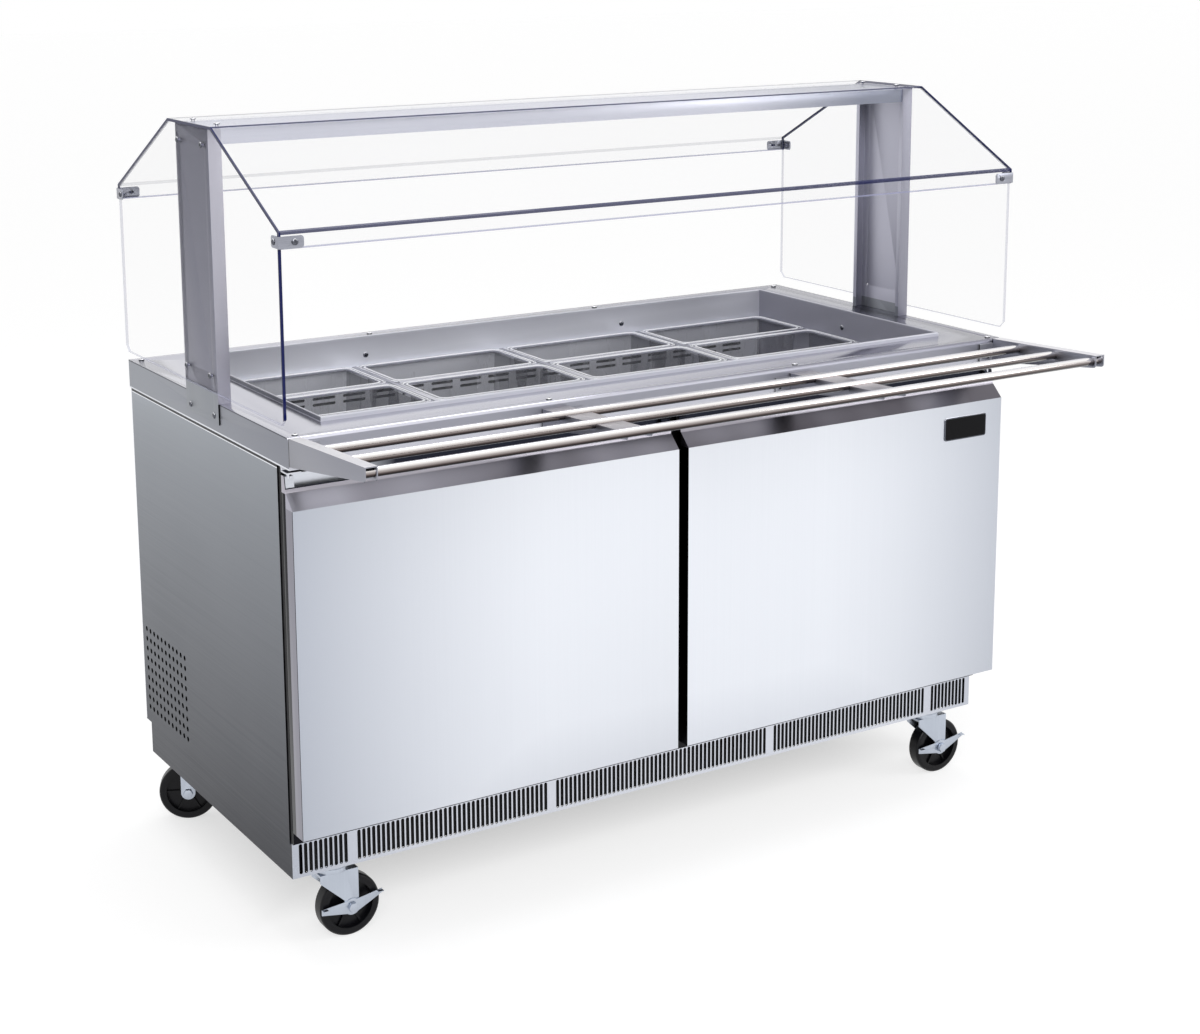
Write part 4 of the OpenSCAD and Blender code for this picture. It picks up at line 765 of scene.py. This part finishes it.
def plain_mesh(piece):
    """Applies what a piece's modifiers make, and removes the modifiers."""
    depsgraph = bpy.context.evaluated_depsgraph_get()
    made = bpy.data.meshes.new_from_object(piece.evaluated_get(depsgraph))
    piece.modifiers.clear()
    piece.data = made
    return piece


def seat(piece, finish, body, slot, *replaced):
    """Puts a finished piece on its body, with its finish. The slot argument is not used."""
    wear(piece, finish)
    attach(piece, body)
    if replaced:
        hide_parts(*replaced)


def placed(name, mesh):
    """A new piece with this mesh, in the scene."""
    piece = bpy.data.objects.new(name, mesh)
    scene.collection.objects.link(piece)
    return piece


def rounded(node, finish, width):
    """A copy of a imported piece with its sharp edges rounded."""
    piece = placed(node + "_rounded", joined_copy(node))
    bevel = piece.modifiers.new("fold", "BEVEL")
    bevel.width = width
    bevel.segments = 2
    bevel.limit_method = "ANGLE"
    bevel.angle_limit = math.radians(35)
    plain_mesh(piece)
    smooth_by_angle(piece.data, 50)
    seat(piece, finish, BODY_OF[node], SLOT_OF[node], node)
    print(piece.name, len(piece.data.polygons), "faces")
    return piece


ROUNDED = {
    "counter_top": ("counter_steel", 0.0007),
    "door_skin_left": ("door_steel", 0.0006),
    "door_skin_right": ("door_steel", 0.0006),
    "guard_post_left": ("post_aluminium", 0.0008),
    "guard_post_right": ("post_aluminium", 0.0008),
    "tray_brackets": ("bracket_steel", 0.0005),
    "divider_bars": ("counter_steel", 0.0006),
    "hinge_plates": ("hinge_steel", 0.0005),
    "caster_plates": ("caster_zinc", 0.0005),
}
ROUNDED.update({f"caster_fork_{corner}": ("caster_zinc", 0.0005) for corner in CORNERS})
ROUNDED.update({f"brake_lever_{side}": ("caster_zinc", 0.0005) for side in ("fl", "fr")})
ROUNDED["guard_clips"] = ("clip_steel", 0.0006)
for node, (finish, width) in ROUNDED.items():
    rounded(node, finish, width)

# %% [markdown]
# ## Tubes and beam
# The painted reflection on a polished tube depends on how high up its round a point lies, from
# 0 at the bottom to 1 at the top, so every point of the three tubes keeps that height as a number.
# The top of the beam is lowered by a hair, so that it doesn't touch the clear roof.

# %% Round the tubes and the beam
TUBE_REACH = 0.04  # a point this near to a tube's front belongs to the tube
TUBE_STEP = 0.03  # the fronts of two tubes are further apart than this
ROOF_AIR = 0.0004

tubes = rounded("tray_tubes", "tube_steel", 0.0006)
places = np.array([vertex.co[:] for vertex in tubes.data.vertices])
rows = np.unique(np.round(places[:, 1], 2))
level = np.zeros(len(places))
for low_y in rows[np.r_[True, np.diff(rows) > TUBE_STEP]]:
    own = abs(places[:, 1] - low_y) < TUBE_REACH
    heights = places[own, 2]
    level[own] = (heights - heights.min()) / np.ptp(heights)
numbers = tubes.data.attributes.new("level", "FLOAT", "POINT")
numbers.data.foreach_set("value", level.astype(np.float32))

beam = rounded("guard_beam", "beam_aluminium", 0.0006)
for vertex in beam.data.vertices:
    if vertex.co.z > far("guard_beam").z - ROOF_AIR / 2:
        vertex.co.z -= ROOF_AIR

# %% [markdown]
# ## Moulded pans
# A pan is moulded in one thin skin: a rim with a small lip turned down and a groove along it,
# a round inner edge, drafted walls, and a floor with soft corners. Each level of it is a
# rectangle with round corners, so the skin is lofted from such rings, from the lip inwards.
# One skin in place of two also lets the eye look through several pans in a row.
# Every point keeps its distance from the rim's edge, for the painted highlight lines along the rim.

# %% Loft the twelve pans
CORNER_STEPS = 7


def ring(half_l, half_w, radius, height):
    """Points round a rectangle with rounded corners."""
    points = []
    for corner, (sx, sy) in enumerate(((1, 1), (-1, 1), (-1, -1), (1, -1))):
        for step in range(CORNER_STEPS + 1):
            angle = math.pi / 2 * (corner + step / CORNER_STEPS)
            points.append((sx * (half_l - radius) + radius * math.cos(angle),
                           sy * (half_w - radius) + radius * math.sin(angle), height))
    return points


def loft(rings):
    """The points and faces of an open skin through rings with the same number of points."""
    count = len(rings[0])
    points = [point for ring_points in rings for point in ring_points]
    faces = []
    for base in range(0, count * (len(rings) - 1), count):
        above = base + count
        faces += [(base + i, base + (i + 1) % count, above + (i + 1) % count, above + i)
                  for i in range(count)]
    return points, faces


WALL, RIM, DRAFT = 0.003, 0.011, 0.011


def pan_levels(top, floor):
    """Inset, corner radius and height of each ring, from the lip to the floor."""
    inner = RIM + WALL
    foot = RIM + DRAFT
    return [
        (RIM - 0.001, 0.017, top - 0.0026), (0.0, 0.0215, top - 0.0026),
        (0.0, 0.0215, top - 0.0012), (0.0003, 0.0212, top - 0.0004),
        (0.0012, 0.0205, top), (0.0034, 0.0190, top),
        (0.0048, 0.0180, top - 0.0010), (inner - 0.0050, 0.0168, top - 0.0010),
        (inner - 0.0035, 0.0155, top), (inner - 0.002, 0.0145, top - 0.0003),
        (inner - 0.0006, 0.0135, top - 0.0016), (inner, 0.013, top - 0.004),
        (RIM + DRAFT * 0.9 + WALL, 0.013, floor + 0.016), (foot + 0.0035, 0.013, floor + 0.009),
        (foot + 0.007, 0.013, floor + 0.0045), (foot + 0.012, 0.012, floor + WALL)]


def pan_mesh(name, low, high):
    """A pan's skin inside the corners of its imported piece."""
    middle = (low + high) / 2
    half_l, half_w = (high.x - low.x) / 2, (high.y - low.y) / 2
    levels = pan_levels(high.z, low.z)
    points, faces = loft([ring(half_l - i, half_w - i, r, z) for i, r, z in levels])
    per_ring = 4 * (CORNER_STEPS + 1)
    faces.append(tuple(range(len(points) - per_ring, len(points))))
    mesh = bpy.data.meshes.new(name)
    mesh.from_pydata([(x + middle.x, y + middle.y, z) for x, y, z in points], [], faces)
    if mesh.polygons[-1].normal.z < 0:
        mesh.flip_normals()
    smooth_by_angle(mesh, 40)
    insets = np.repeat([inset for inset, _, _ in levels], per_ring).astype(np.float32)
    mesh.attributes.new("inset", "FLOAT", "POINT").data.foreach_set("value", insets)
    return mesh


PANS = [f"pan_{row}{column}" for row in "abc" for column in range(1, 5)]
for node in PANS:
    pan = placed(node + "_moulded", pan_mesh(node, *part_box(node)))
    seat(pan, "pan_clear", BODY_OF[node], "pan_clear", node)
print("pans moulded:", len(PANS))

# %% [markdown]
# ## Screws
# All the screws are alike: a low dome with a cross recess. One head is turned from its
# profile, and a geometry tree sets a copy of it at each place, looking the way its sheet does.
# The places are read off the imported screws, so that nothing is measured twice.

# %% Set the screws with geometry nodes
def islands(mesh):
    """The separate parts of a mesh in their order in it, each as a list of its points."""
    work = bmesh.new()
    work.from_mesh(mesh)
    bmesh.ops.remove_doubles(work, verts=work.verts, dist=1e-6)
    seen, parts = set(), []
    for start in work.verts:
        if start in seen:
            continue
        seen.add(start)
        part, queue = [start], [start]
        while queue:
            for edge in queue.pop().link_edges:
                for vert in edge.verts:
                    if vert not in seen:
                        seen.add(vert)
                        part.append(vert)
                        queue.append(vert)
        parts.append(np.array([v.co[:] for v in part]))
    work.free()
    return parts


SCREW_HEAD, SCREW_RISE = 0.011, 0.003
SAME_LEVEL = 2e-4


def screw_places():
    """Foot and direction of every packed screw."""
    places = []
    for part in islands(nodes["dome_screws"].data):
        low, high = part.min(0), part.max(0)
        axis = int(np.argmax(abs(high - low - SCREW_HEAD)))
        widths = [np.ptp(part[abs(part[:, axis] - end) < SAME_LEVEL], axis=0).max()
                  for end in (low[axis], high[axis])]
        sign = 1 if widths[1] > widths[0] else -1
        tip = high[axis] if sign > 0 else low[axis]
        foot = (low + high) / 2
        foot[axis] = tip - sign * SCREW_RISE
        aim = np.zeros(3)
        aim[axis] = sign
        places.append((foot, aim))
    return places


SCREWS = screw_places()
print("screws found:", len(SCREWS))


def closed_mesh(name, points, faces):
    """A mesh with its doubled points joined, its holes filled and its faces looking out."""
    mesh = bpy.data.meshes.new(name)
    mesh.from_pydata(points, [], faces)
    work = bmesh.new()
    work.from_mesh(mesh)
    bmesh.ops.remove_doubles(work, verts=work.verts, dist=1e-7)
    bmesh.ops.holes_fill(work, edges=work.edges, sides=0)
    bmesh.ops.recalc_face_normals(work, faces=work.faces)
    work.to_mesh(mesh)
    work.free()
    return mesh


def turned(name, profile, steps):
    """A closed solid turned from a profile of radius and height."""
    angles = [2 * math.pi * i / steps for i in range(steps)]
    return closed_mesh(name, *loft([
        [(radius * math.cos(angle), radius * math.sin(angle), height) for angle in angles]
        for radius, height in profile]))


HEAD_SIDES, DOME_STEPS = 24, 6
DOME_FOOT, EDGE_FOOT = 0.0008, 0.0003


def screw_head():
    """A low dome with a cross recess, seated at height zero."""
    r, h = SCREW_HEAD / 2, SCREW_RISE * 0.93
    dome = [(r * math.cos(a), DOME_FOOT + (h - DOME_FOOT) * math.sin(a))
            for a in (math.pi / 2 * k / DOME_STEPS for k in range(DOME_STEPS))]
    profile = [(r * 0.9, 0.0), (r, EDGE_FOOT)] + dome + [(r * 0.12, h)]
    head = placed("screw_head", turned("screw_head", profile, HEAD_SIDES))
    arm, width, deep = r * 0.55, r * 0.10, SCREW_RISE * 0.35
    bar = Matrix.Diagonal((2 * arm, 2 * width, 2 * deep, 1))
    work = bmesh.new()
    for turn in (0, math.pi / 2):
        cut = bmesh.ops.create_cube(work, size=1.0)["verts"]
        place = Matrix.Translation((0, 0, h)) @ Matrix.Rotation(turn, 4, "Z")
        bmesh.ops.transform(work, verts=cut, matrix=place @ bar)
    cross = bpy.data.meshes.new("cross")
    work.to_mesh(cross)
    work.free()
    tool = placed("cross", cross)
    carve = head.modifiers.new("recess", "BOOLEAN")
    carve.object = tool
    carve.operation = "DIFFERENCE"
    carve.solver = "EXACT"
    carve.use_self = True
    plain_mesh(head)
    bpy.data.objects.remove(tool)
    smooth_by_angle(head.data, 35)
    return head


def screw_tree():
    """A geometry tree that sets a head on every point, looking along the point's aim.
    It comes with the identifiers of its inputs."""
    tree = bpy.data.node_groups.new("set_screws", "GeometryNodeTree")
    socket = tree.interface.new_socket
    socket("Geometry", in_out="INPUT", socket_type="NodeSocketGeometry")
    ids = {label: socket(label, in_out="INPUT", socket_type="NodeSocket" + kind).identifier
           for label, kind in (("Head", "Object"), ("Head Scale", "Float"),
                               ("Turn Seed", "Int"), ("Finish", "Material"))}
    socket("Geometry", in_out="OUTPUT", socket_type="NodeSocketGeometry")
    entry, end = tree.nodes.new("NodeGroupInput"), tree.nodes.new("NodeGroupOutput")
    new, link = tree.nodes.new, tree.links.new
    head = new("GeometryNodeObjectInfo")
    aim = new("GeometryNodeInputNamedAttribute")
    aim.data_type = "FLOAT_VECTOR"
    aim.inputs["Name"].default_value = "aim"
    align = new("FunctionNodeAlignRotationToVector")
    align.axis = "Z"
    turn = new("FunctionNodeRandomValue")
    turn.inputs[3].default_value = math.pi / 2
    spin = new("FunctionNodeAxisAngleToRotation")
    both = new("FunctionNodeRotateRotation")
    both.rotation_space = "LOCAL"
    scatter = new("GeometryNodeInstanceOnPoints")
    real, dress = new("GeometryNodeRealizeInstances"), new("GeometryNodeSetMaterial")
    link(entry.outputs["Head"], head.inputs["Object"])
    link(aim.outputs["Attribute"], align.inputs["Vector"])
    link(entry.outputs["Turn Seed"], turn.inputs["Seed"])
    link(turn.outputs[1], spin.inputs["Angle"])
    link(align.outputs[0], both.inputs["Rotation"])
    link(spin.outputs[0], both.inputs["Rotate By"])
    link(entry.outputs["Geometry"], scatter.inputs["Points"])
    link(head.outputs["Geometry"], scatter.inputs["Instance"])
    link(both.outputs[0], scatter.inputs["Rotation"])
    link(entry.outputs["Head Scale"], scatter.inputs["Scale"])
    link(scatter.outputs[0], real.inputs[0])
    link(real.outputs[0], dress.inputs["Geometry"])
    link(entry.outputs["Finish"], dress.inputs["Material"])
    link(dress.outputs[0], end.inputs[0])
    return tree, ids


def grown(name, points, aims, tree, ids, settings):
    """Runs a geometry tree on points with aims and returns a plain mesh object."""
    mesh = bpy.data.meshes.new(name)
    mesh.from_pydata([tuple(p) for p in points], [], [])
    aim = mesh.attributes.new("aim", "FLOAT_VECTOR", "POINT")
    aim.data.foreach_set("vector", np.array(aims, np.float32).ravel())
    piece = placed(name, mesh)
    grow = piece.modifiers.new("grow", "NODES")
    grow.node_group = tree
    for label, value in settings.items():
        grow[ids[label]] = value
    return plain_mesh(piece)


head = screw_head()
tree, ids = screw_tree()
feet, aims = zip(*SCREWS)
screws = grown("screws", feet, aims, tree, ids, {
    "Head": head, "Head Scale": 1.0, "Turn Seed": 3, "Finish": FINISHES["screw_steel"]})
bpy.data.objects.remove(head)
seat(screws, "screw_steel", "cabinet", "screw_steel", "dome_screws")
print("screws set:", len(SCREWS), "with", len(screws.data.polygons), "faces")

# %% [markdown]
# ## The badge plate
# The right door carries a small dark plate near its upper outer corner.
# This one is bare: a black field in a thin steel rim, with nothing written on it.

# %% Make the bare plate
def plate_mesh(name, low, high, back, front, radius):
    """A plate with rounded corners in the plane of the door, standing proud of it."""
    centre_x, centre_z = (low[0] + high[0]) / 2, (low[1] + high[1]) / 2
    half_w, half_h = (high[0] - low[0]) / 2, (high[1] - low[1]) / 2
    edge = (back - front) * 0.3
    shape = [(0.0, back), (0.0, front + edge), (edge, front)]
    rings = [[(centre_x + x, depth, centre_z + y)
              for x, y, _ in ring(half_w - inset, half_h - inset, radius - inset, 0.0)]
             for inset, depth in shape]
    mesh = closed_mesh(name, *loft(rings))
    smooth_by_angle(mesh, 30)
    return mesh


BADGE, BADGE_RIM = ((0.620, 0.738), (0.727, 0.784)), 0.0022
RIM_RISE, FIELD_SINK, FIELD_RISE = 0.0016, 0.0012, 0.0022
RIM_CORNER, FIELD_CORNER = 0.005, 0.0035
rim_plate = plate_mesh("badge_rim", *BADGE, FACE_Y, FACE_Y - RIM_RISE, RIM_CORNER)
seat(placed("badge_rim", rim_plate), "screw_steel", "door_right", "screw_steel")
inner = [(x + side * BADGE_RIM, z + side * BADGE_RIM) for (x, z), side in zip(BADGE, (1, -1))]
field = plate_mesh("badge_field", *inner, FACE_Y - FIELD_SINK, FACE_Y - FIELD_RISE,
                   FIELD_CORNER)
seat(placed("badge_field", field), "badge_black", "door_right", "black_plastic")
print("badge plate:", [round(b - a, 3) for a, b in zip(*BADGE)], "m")

# %% [markdown]
# ## A black sheet behind the grille
# Nothing shows through the slots of the kick grille but black: a thin black sheet hangs right
# behind it as painted shade, for the dark inside of the base. It is one flat sheet.

# %% Hang the black sheet of painted shade
GRILLE_LOW, GRILLE_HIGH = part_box("kick_grille")
SHADE_SHEET_GAP, SHADE_SHEET_THICK, SHADE_SHEET_SIDE, SHADE_SHEET_EDGE = 0.0022, 0.0012, 0.0225, 0.0075
span = GRILLE_HIGH - GRILLE_LOW - Vector((2 * SHADE_SHEET_SIDE, 0, 2 * SHADE_SHEET_EDGE))
centre = (GRILLE_LOW + GRILLE_HIGH) / 2
centre.y, span.y = GRILLE_LOW.y + SHADE_SHEET_GAP + SHADE_SHEET_THICK / 2, SHADE_SHEET_THICK
work = bmesh.new()
bmesh.ops.create_cube(work, size=1.0)
place = Matrix.Translation(centre) @ Matrix.Diagonal((*span, 1))
bmesh.ops.transform(work, verts=work.verts, matrix=place)
shade_sheet_mesh = bpy.data.meshes.new("dust_mat")
work.to_mesh(shade_sheet_mesh)
work.free()
seat(placed("dust_mat", shade_sheet_mesh), "gasket_rubber", "cabinet", "gasket_rubber")
print("shade sheet:", [round(s, 4) for s in span])

# %% [markdown]
# ## The studio
# The floor and the world around are plain white. The lamps are wide and soft, so that the
# steel shows broad pale bands and no hard spots. White is the colour of the floor and the
# world as the camera and the gloss see them, and the lamps stay at a plain level.

# %% Light the studio
WORLD_LIGHT, WORLD_WHITE = 0.55, 1.0
FLOOR_GREY, FLOOR_GLOW, FLOOR_SHADE, FLOOR_REACH = 0.42, 0.70, 0.24, 30
SHADOW_FRONT, SHADOW_BACK, SHADOW_ENDS = (-0.05, 0.20), (0.56, 0.30), (0.80, 0.45)
SEEN_BY = ("Is Camera Ray", "Is Glossy Ray", "Is Transmission Ray")


def studio_world():
    """White to the eye and to gloss, and plainer as a light."""
    world = bpy.data.worlds.new("studio")
    scene.world = world
    world.use_nodes = True
    tree = world.node_tree
    background = next(node for node in tree.nodes if node.type == "BACKGROUND")
    background.inputs["Color"].default_value = (1, 1, 1, 1)
    path = tree.nodes.new("ShaderNodeLightPath")
    seen = path.outputs[SEEN_BY[0]]
    for other in SEEN_BY[1:]:
        either = tree.nodes.new("ShaderNodeMath")
        either.operation = "MAXIMUM"
        tree.links.new(seen, either.inputs[0])
        tree.links.new(path.outputs[other], either.inputs[1])
        seen = either.outputs[0]
    level = tree.nodes.new("ShaderNodeMapRange")
    level.inputs["To Min"].default_value = WORLD_LIGHT
    level.inputs["To Max"].default_value = WORLD_WHITE
    tree.links.new(seen, level.inputs["Value"])
    tree.links.new(level.outputs[0], background.inputs["Strength"])


def softbox(name, place, target, size, power):
    """A wide rectangular lamp that looks at its target."""
    lamp = bpy.data.lights.new(name, "AREA")
    lamp.shape = "RECTANGLE"
    lamp.size, lamp.size_y = size
    lamp.energy = power
    aim = (Vector(target) - Vector(place)).to_track_quat("-Z", "Y").to_matrix().to_4x4()
    placed(name, lamp).matrix_world = Matrix.Translation(place) @ aim


def studio_floor():
    """A white floor that keeps the real soft shadow under the counter, deepened by a painted
    shadow that dims its glow there.
    """
    mesh = bpy.data.meshes.new("floor")
    corners = [(x * FLOOR_REACH, y * FLOOR_REACH, 0)
               for x, y in ((-1, -1), (1, -1), (1, 1), (-1, 1))]
    mesh.from_pydata(corners, [], [(0, 1, 2, 3)])
    floor = placed("floor", mesh)
    finish = Finish("floor_white", roughness=0.9)
    finish.feed(Base_Color=(FLOOR_GREY, FLOOR_GREY, FLOOR_GREY, 1))
    path = finish.add("ShaderNodeLightPath")
    camera_ray, *others = [Field(finish, path.outputs[ray]) for ray in SEEN_BY]
    seen = camera_ray.either(others[0]).either(others[1])
    x, y, _ = finish.axes()
    depth = finish.ramp(y, *SHADOW_FRONT).both(finish.ramp(y, *SHADOW_BACK))
    # painted shadow: the glow is dimmed in a soft footprint under the counter
    under = finish.ramp(x.size(), *SHADOW_ENDS).both(depth)
    glow = seen * (FLOOR_GLOW - under * FLOOR_SHADE)
    finish.feed(Emission_Color=(1, 1, 1, 1), Emission_Strength=glow)
    mesh.materials.append(finish.material)


LAMPS = {  # place, target, width and height, and power
    "key": ((-2.6, -4.2, 3.4), (0, 0, 0.6), (2.4, 2.4), 100),
    "fill": ((3.8, -3.0, 2.6), (0, 0, 0.7), (2.0, 2.4), 45),
    "top": ((0, 0.4, 4.2), (0, 0, 0.9), (3.0, 2.0), 40),
}
studio_world()
for name, settings in LAMPS.items():
    softbox(name, *settings)
studio_floor()
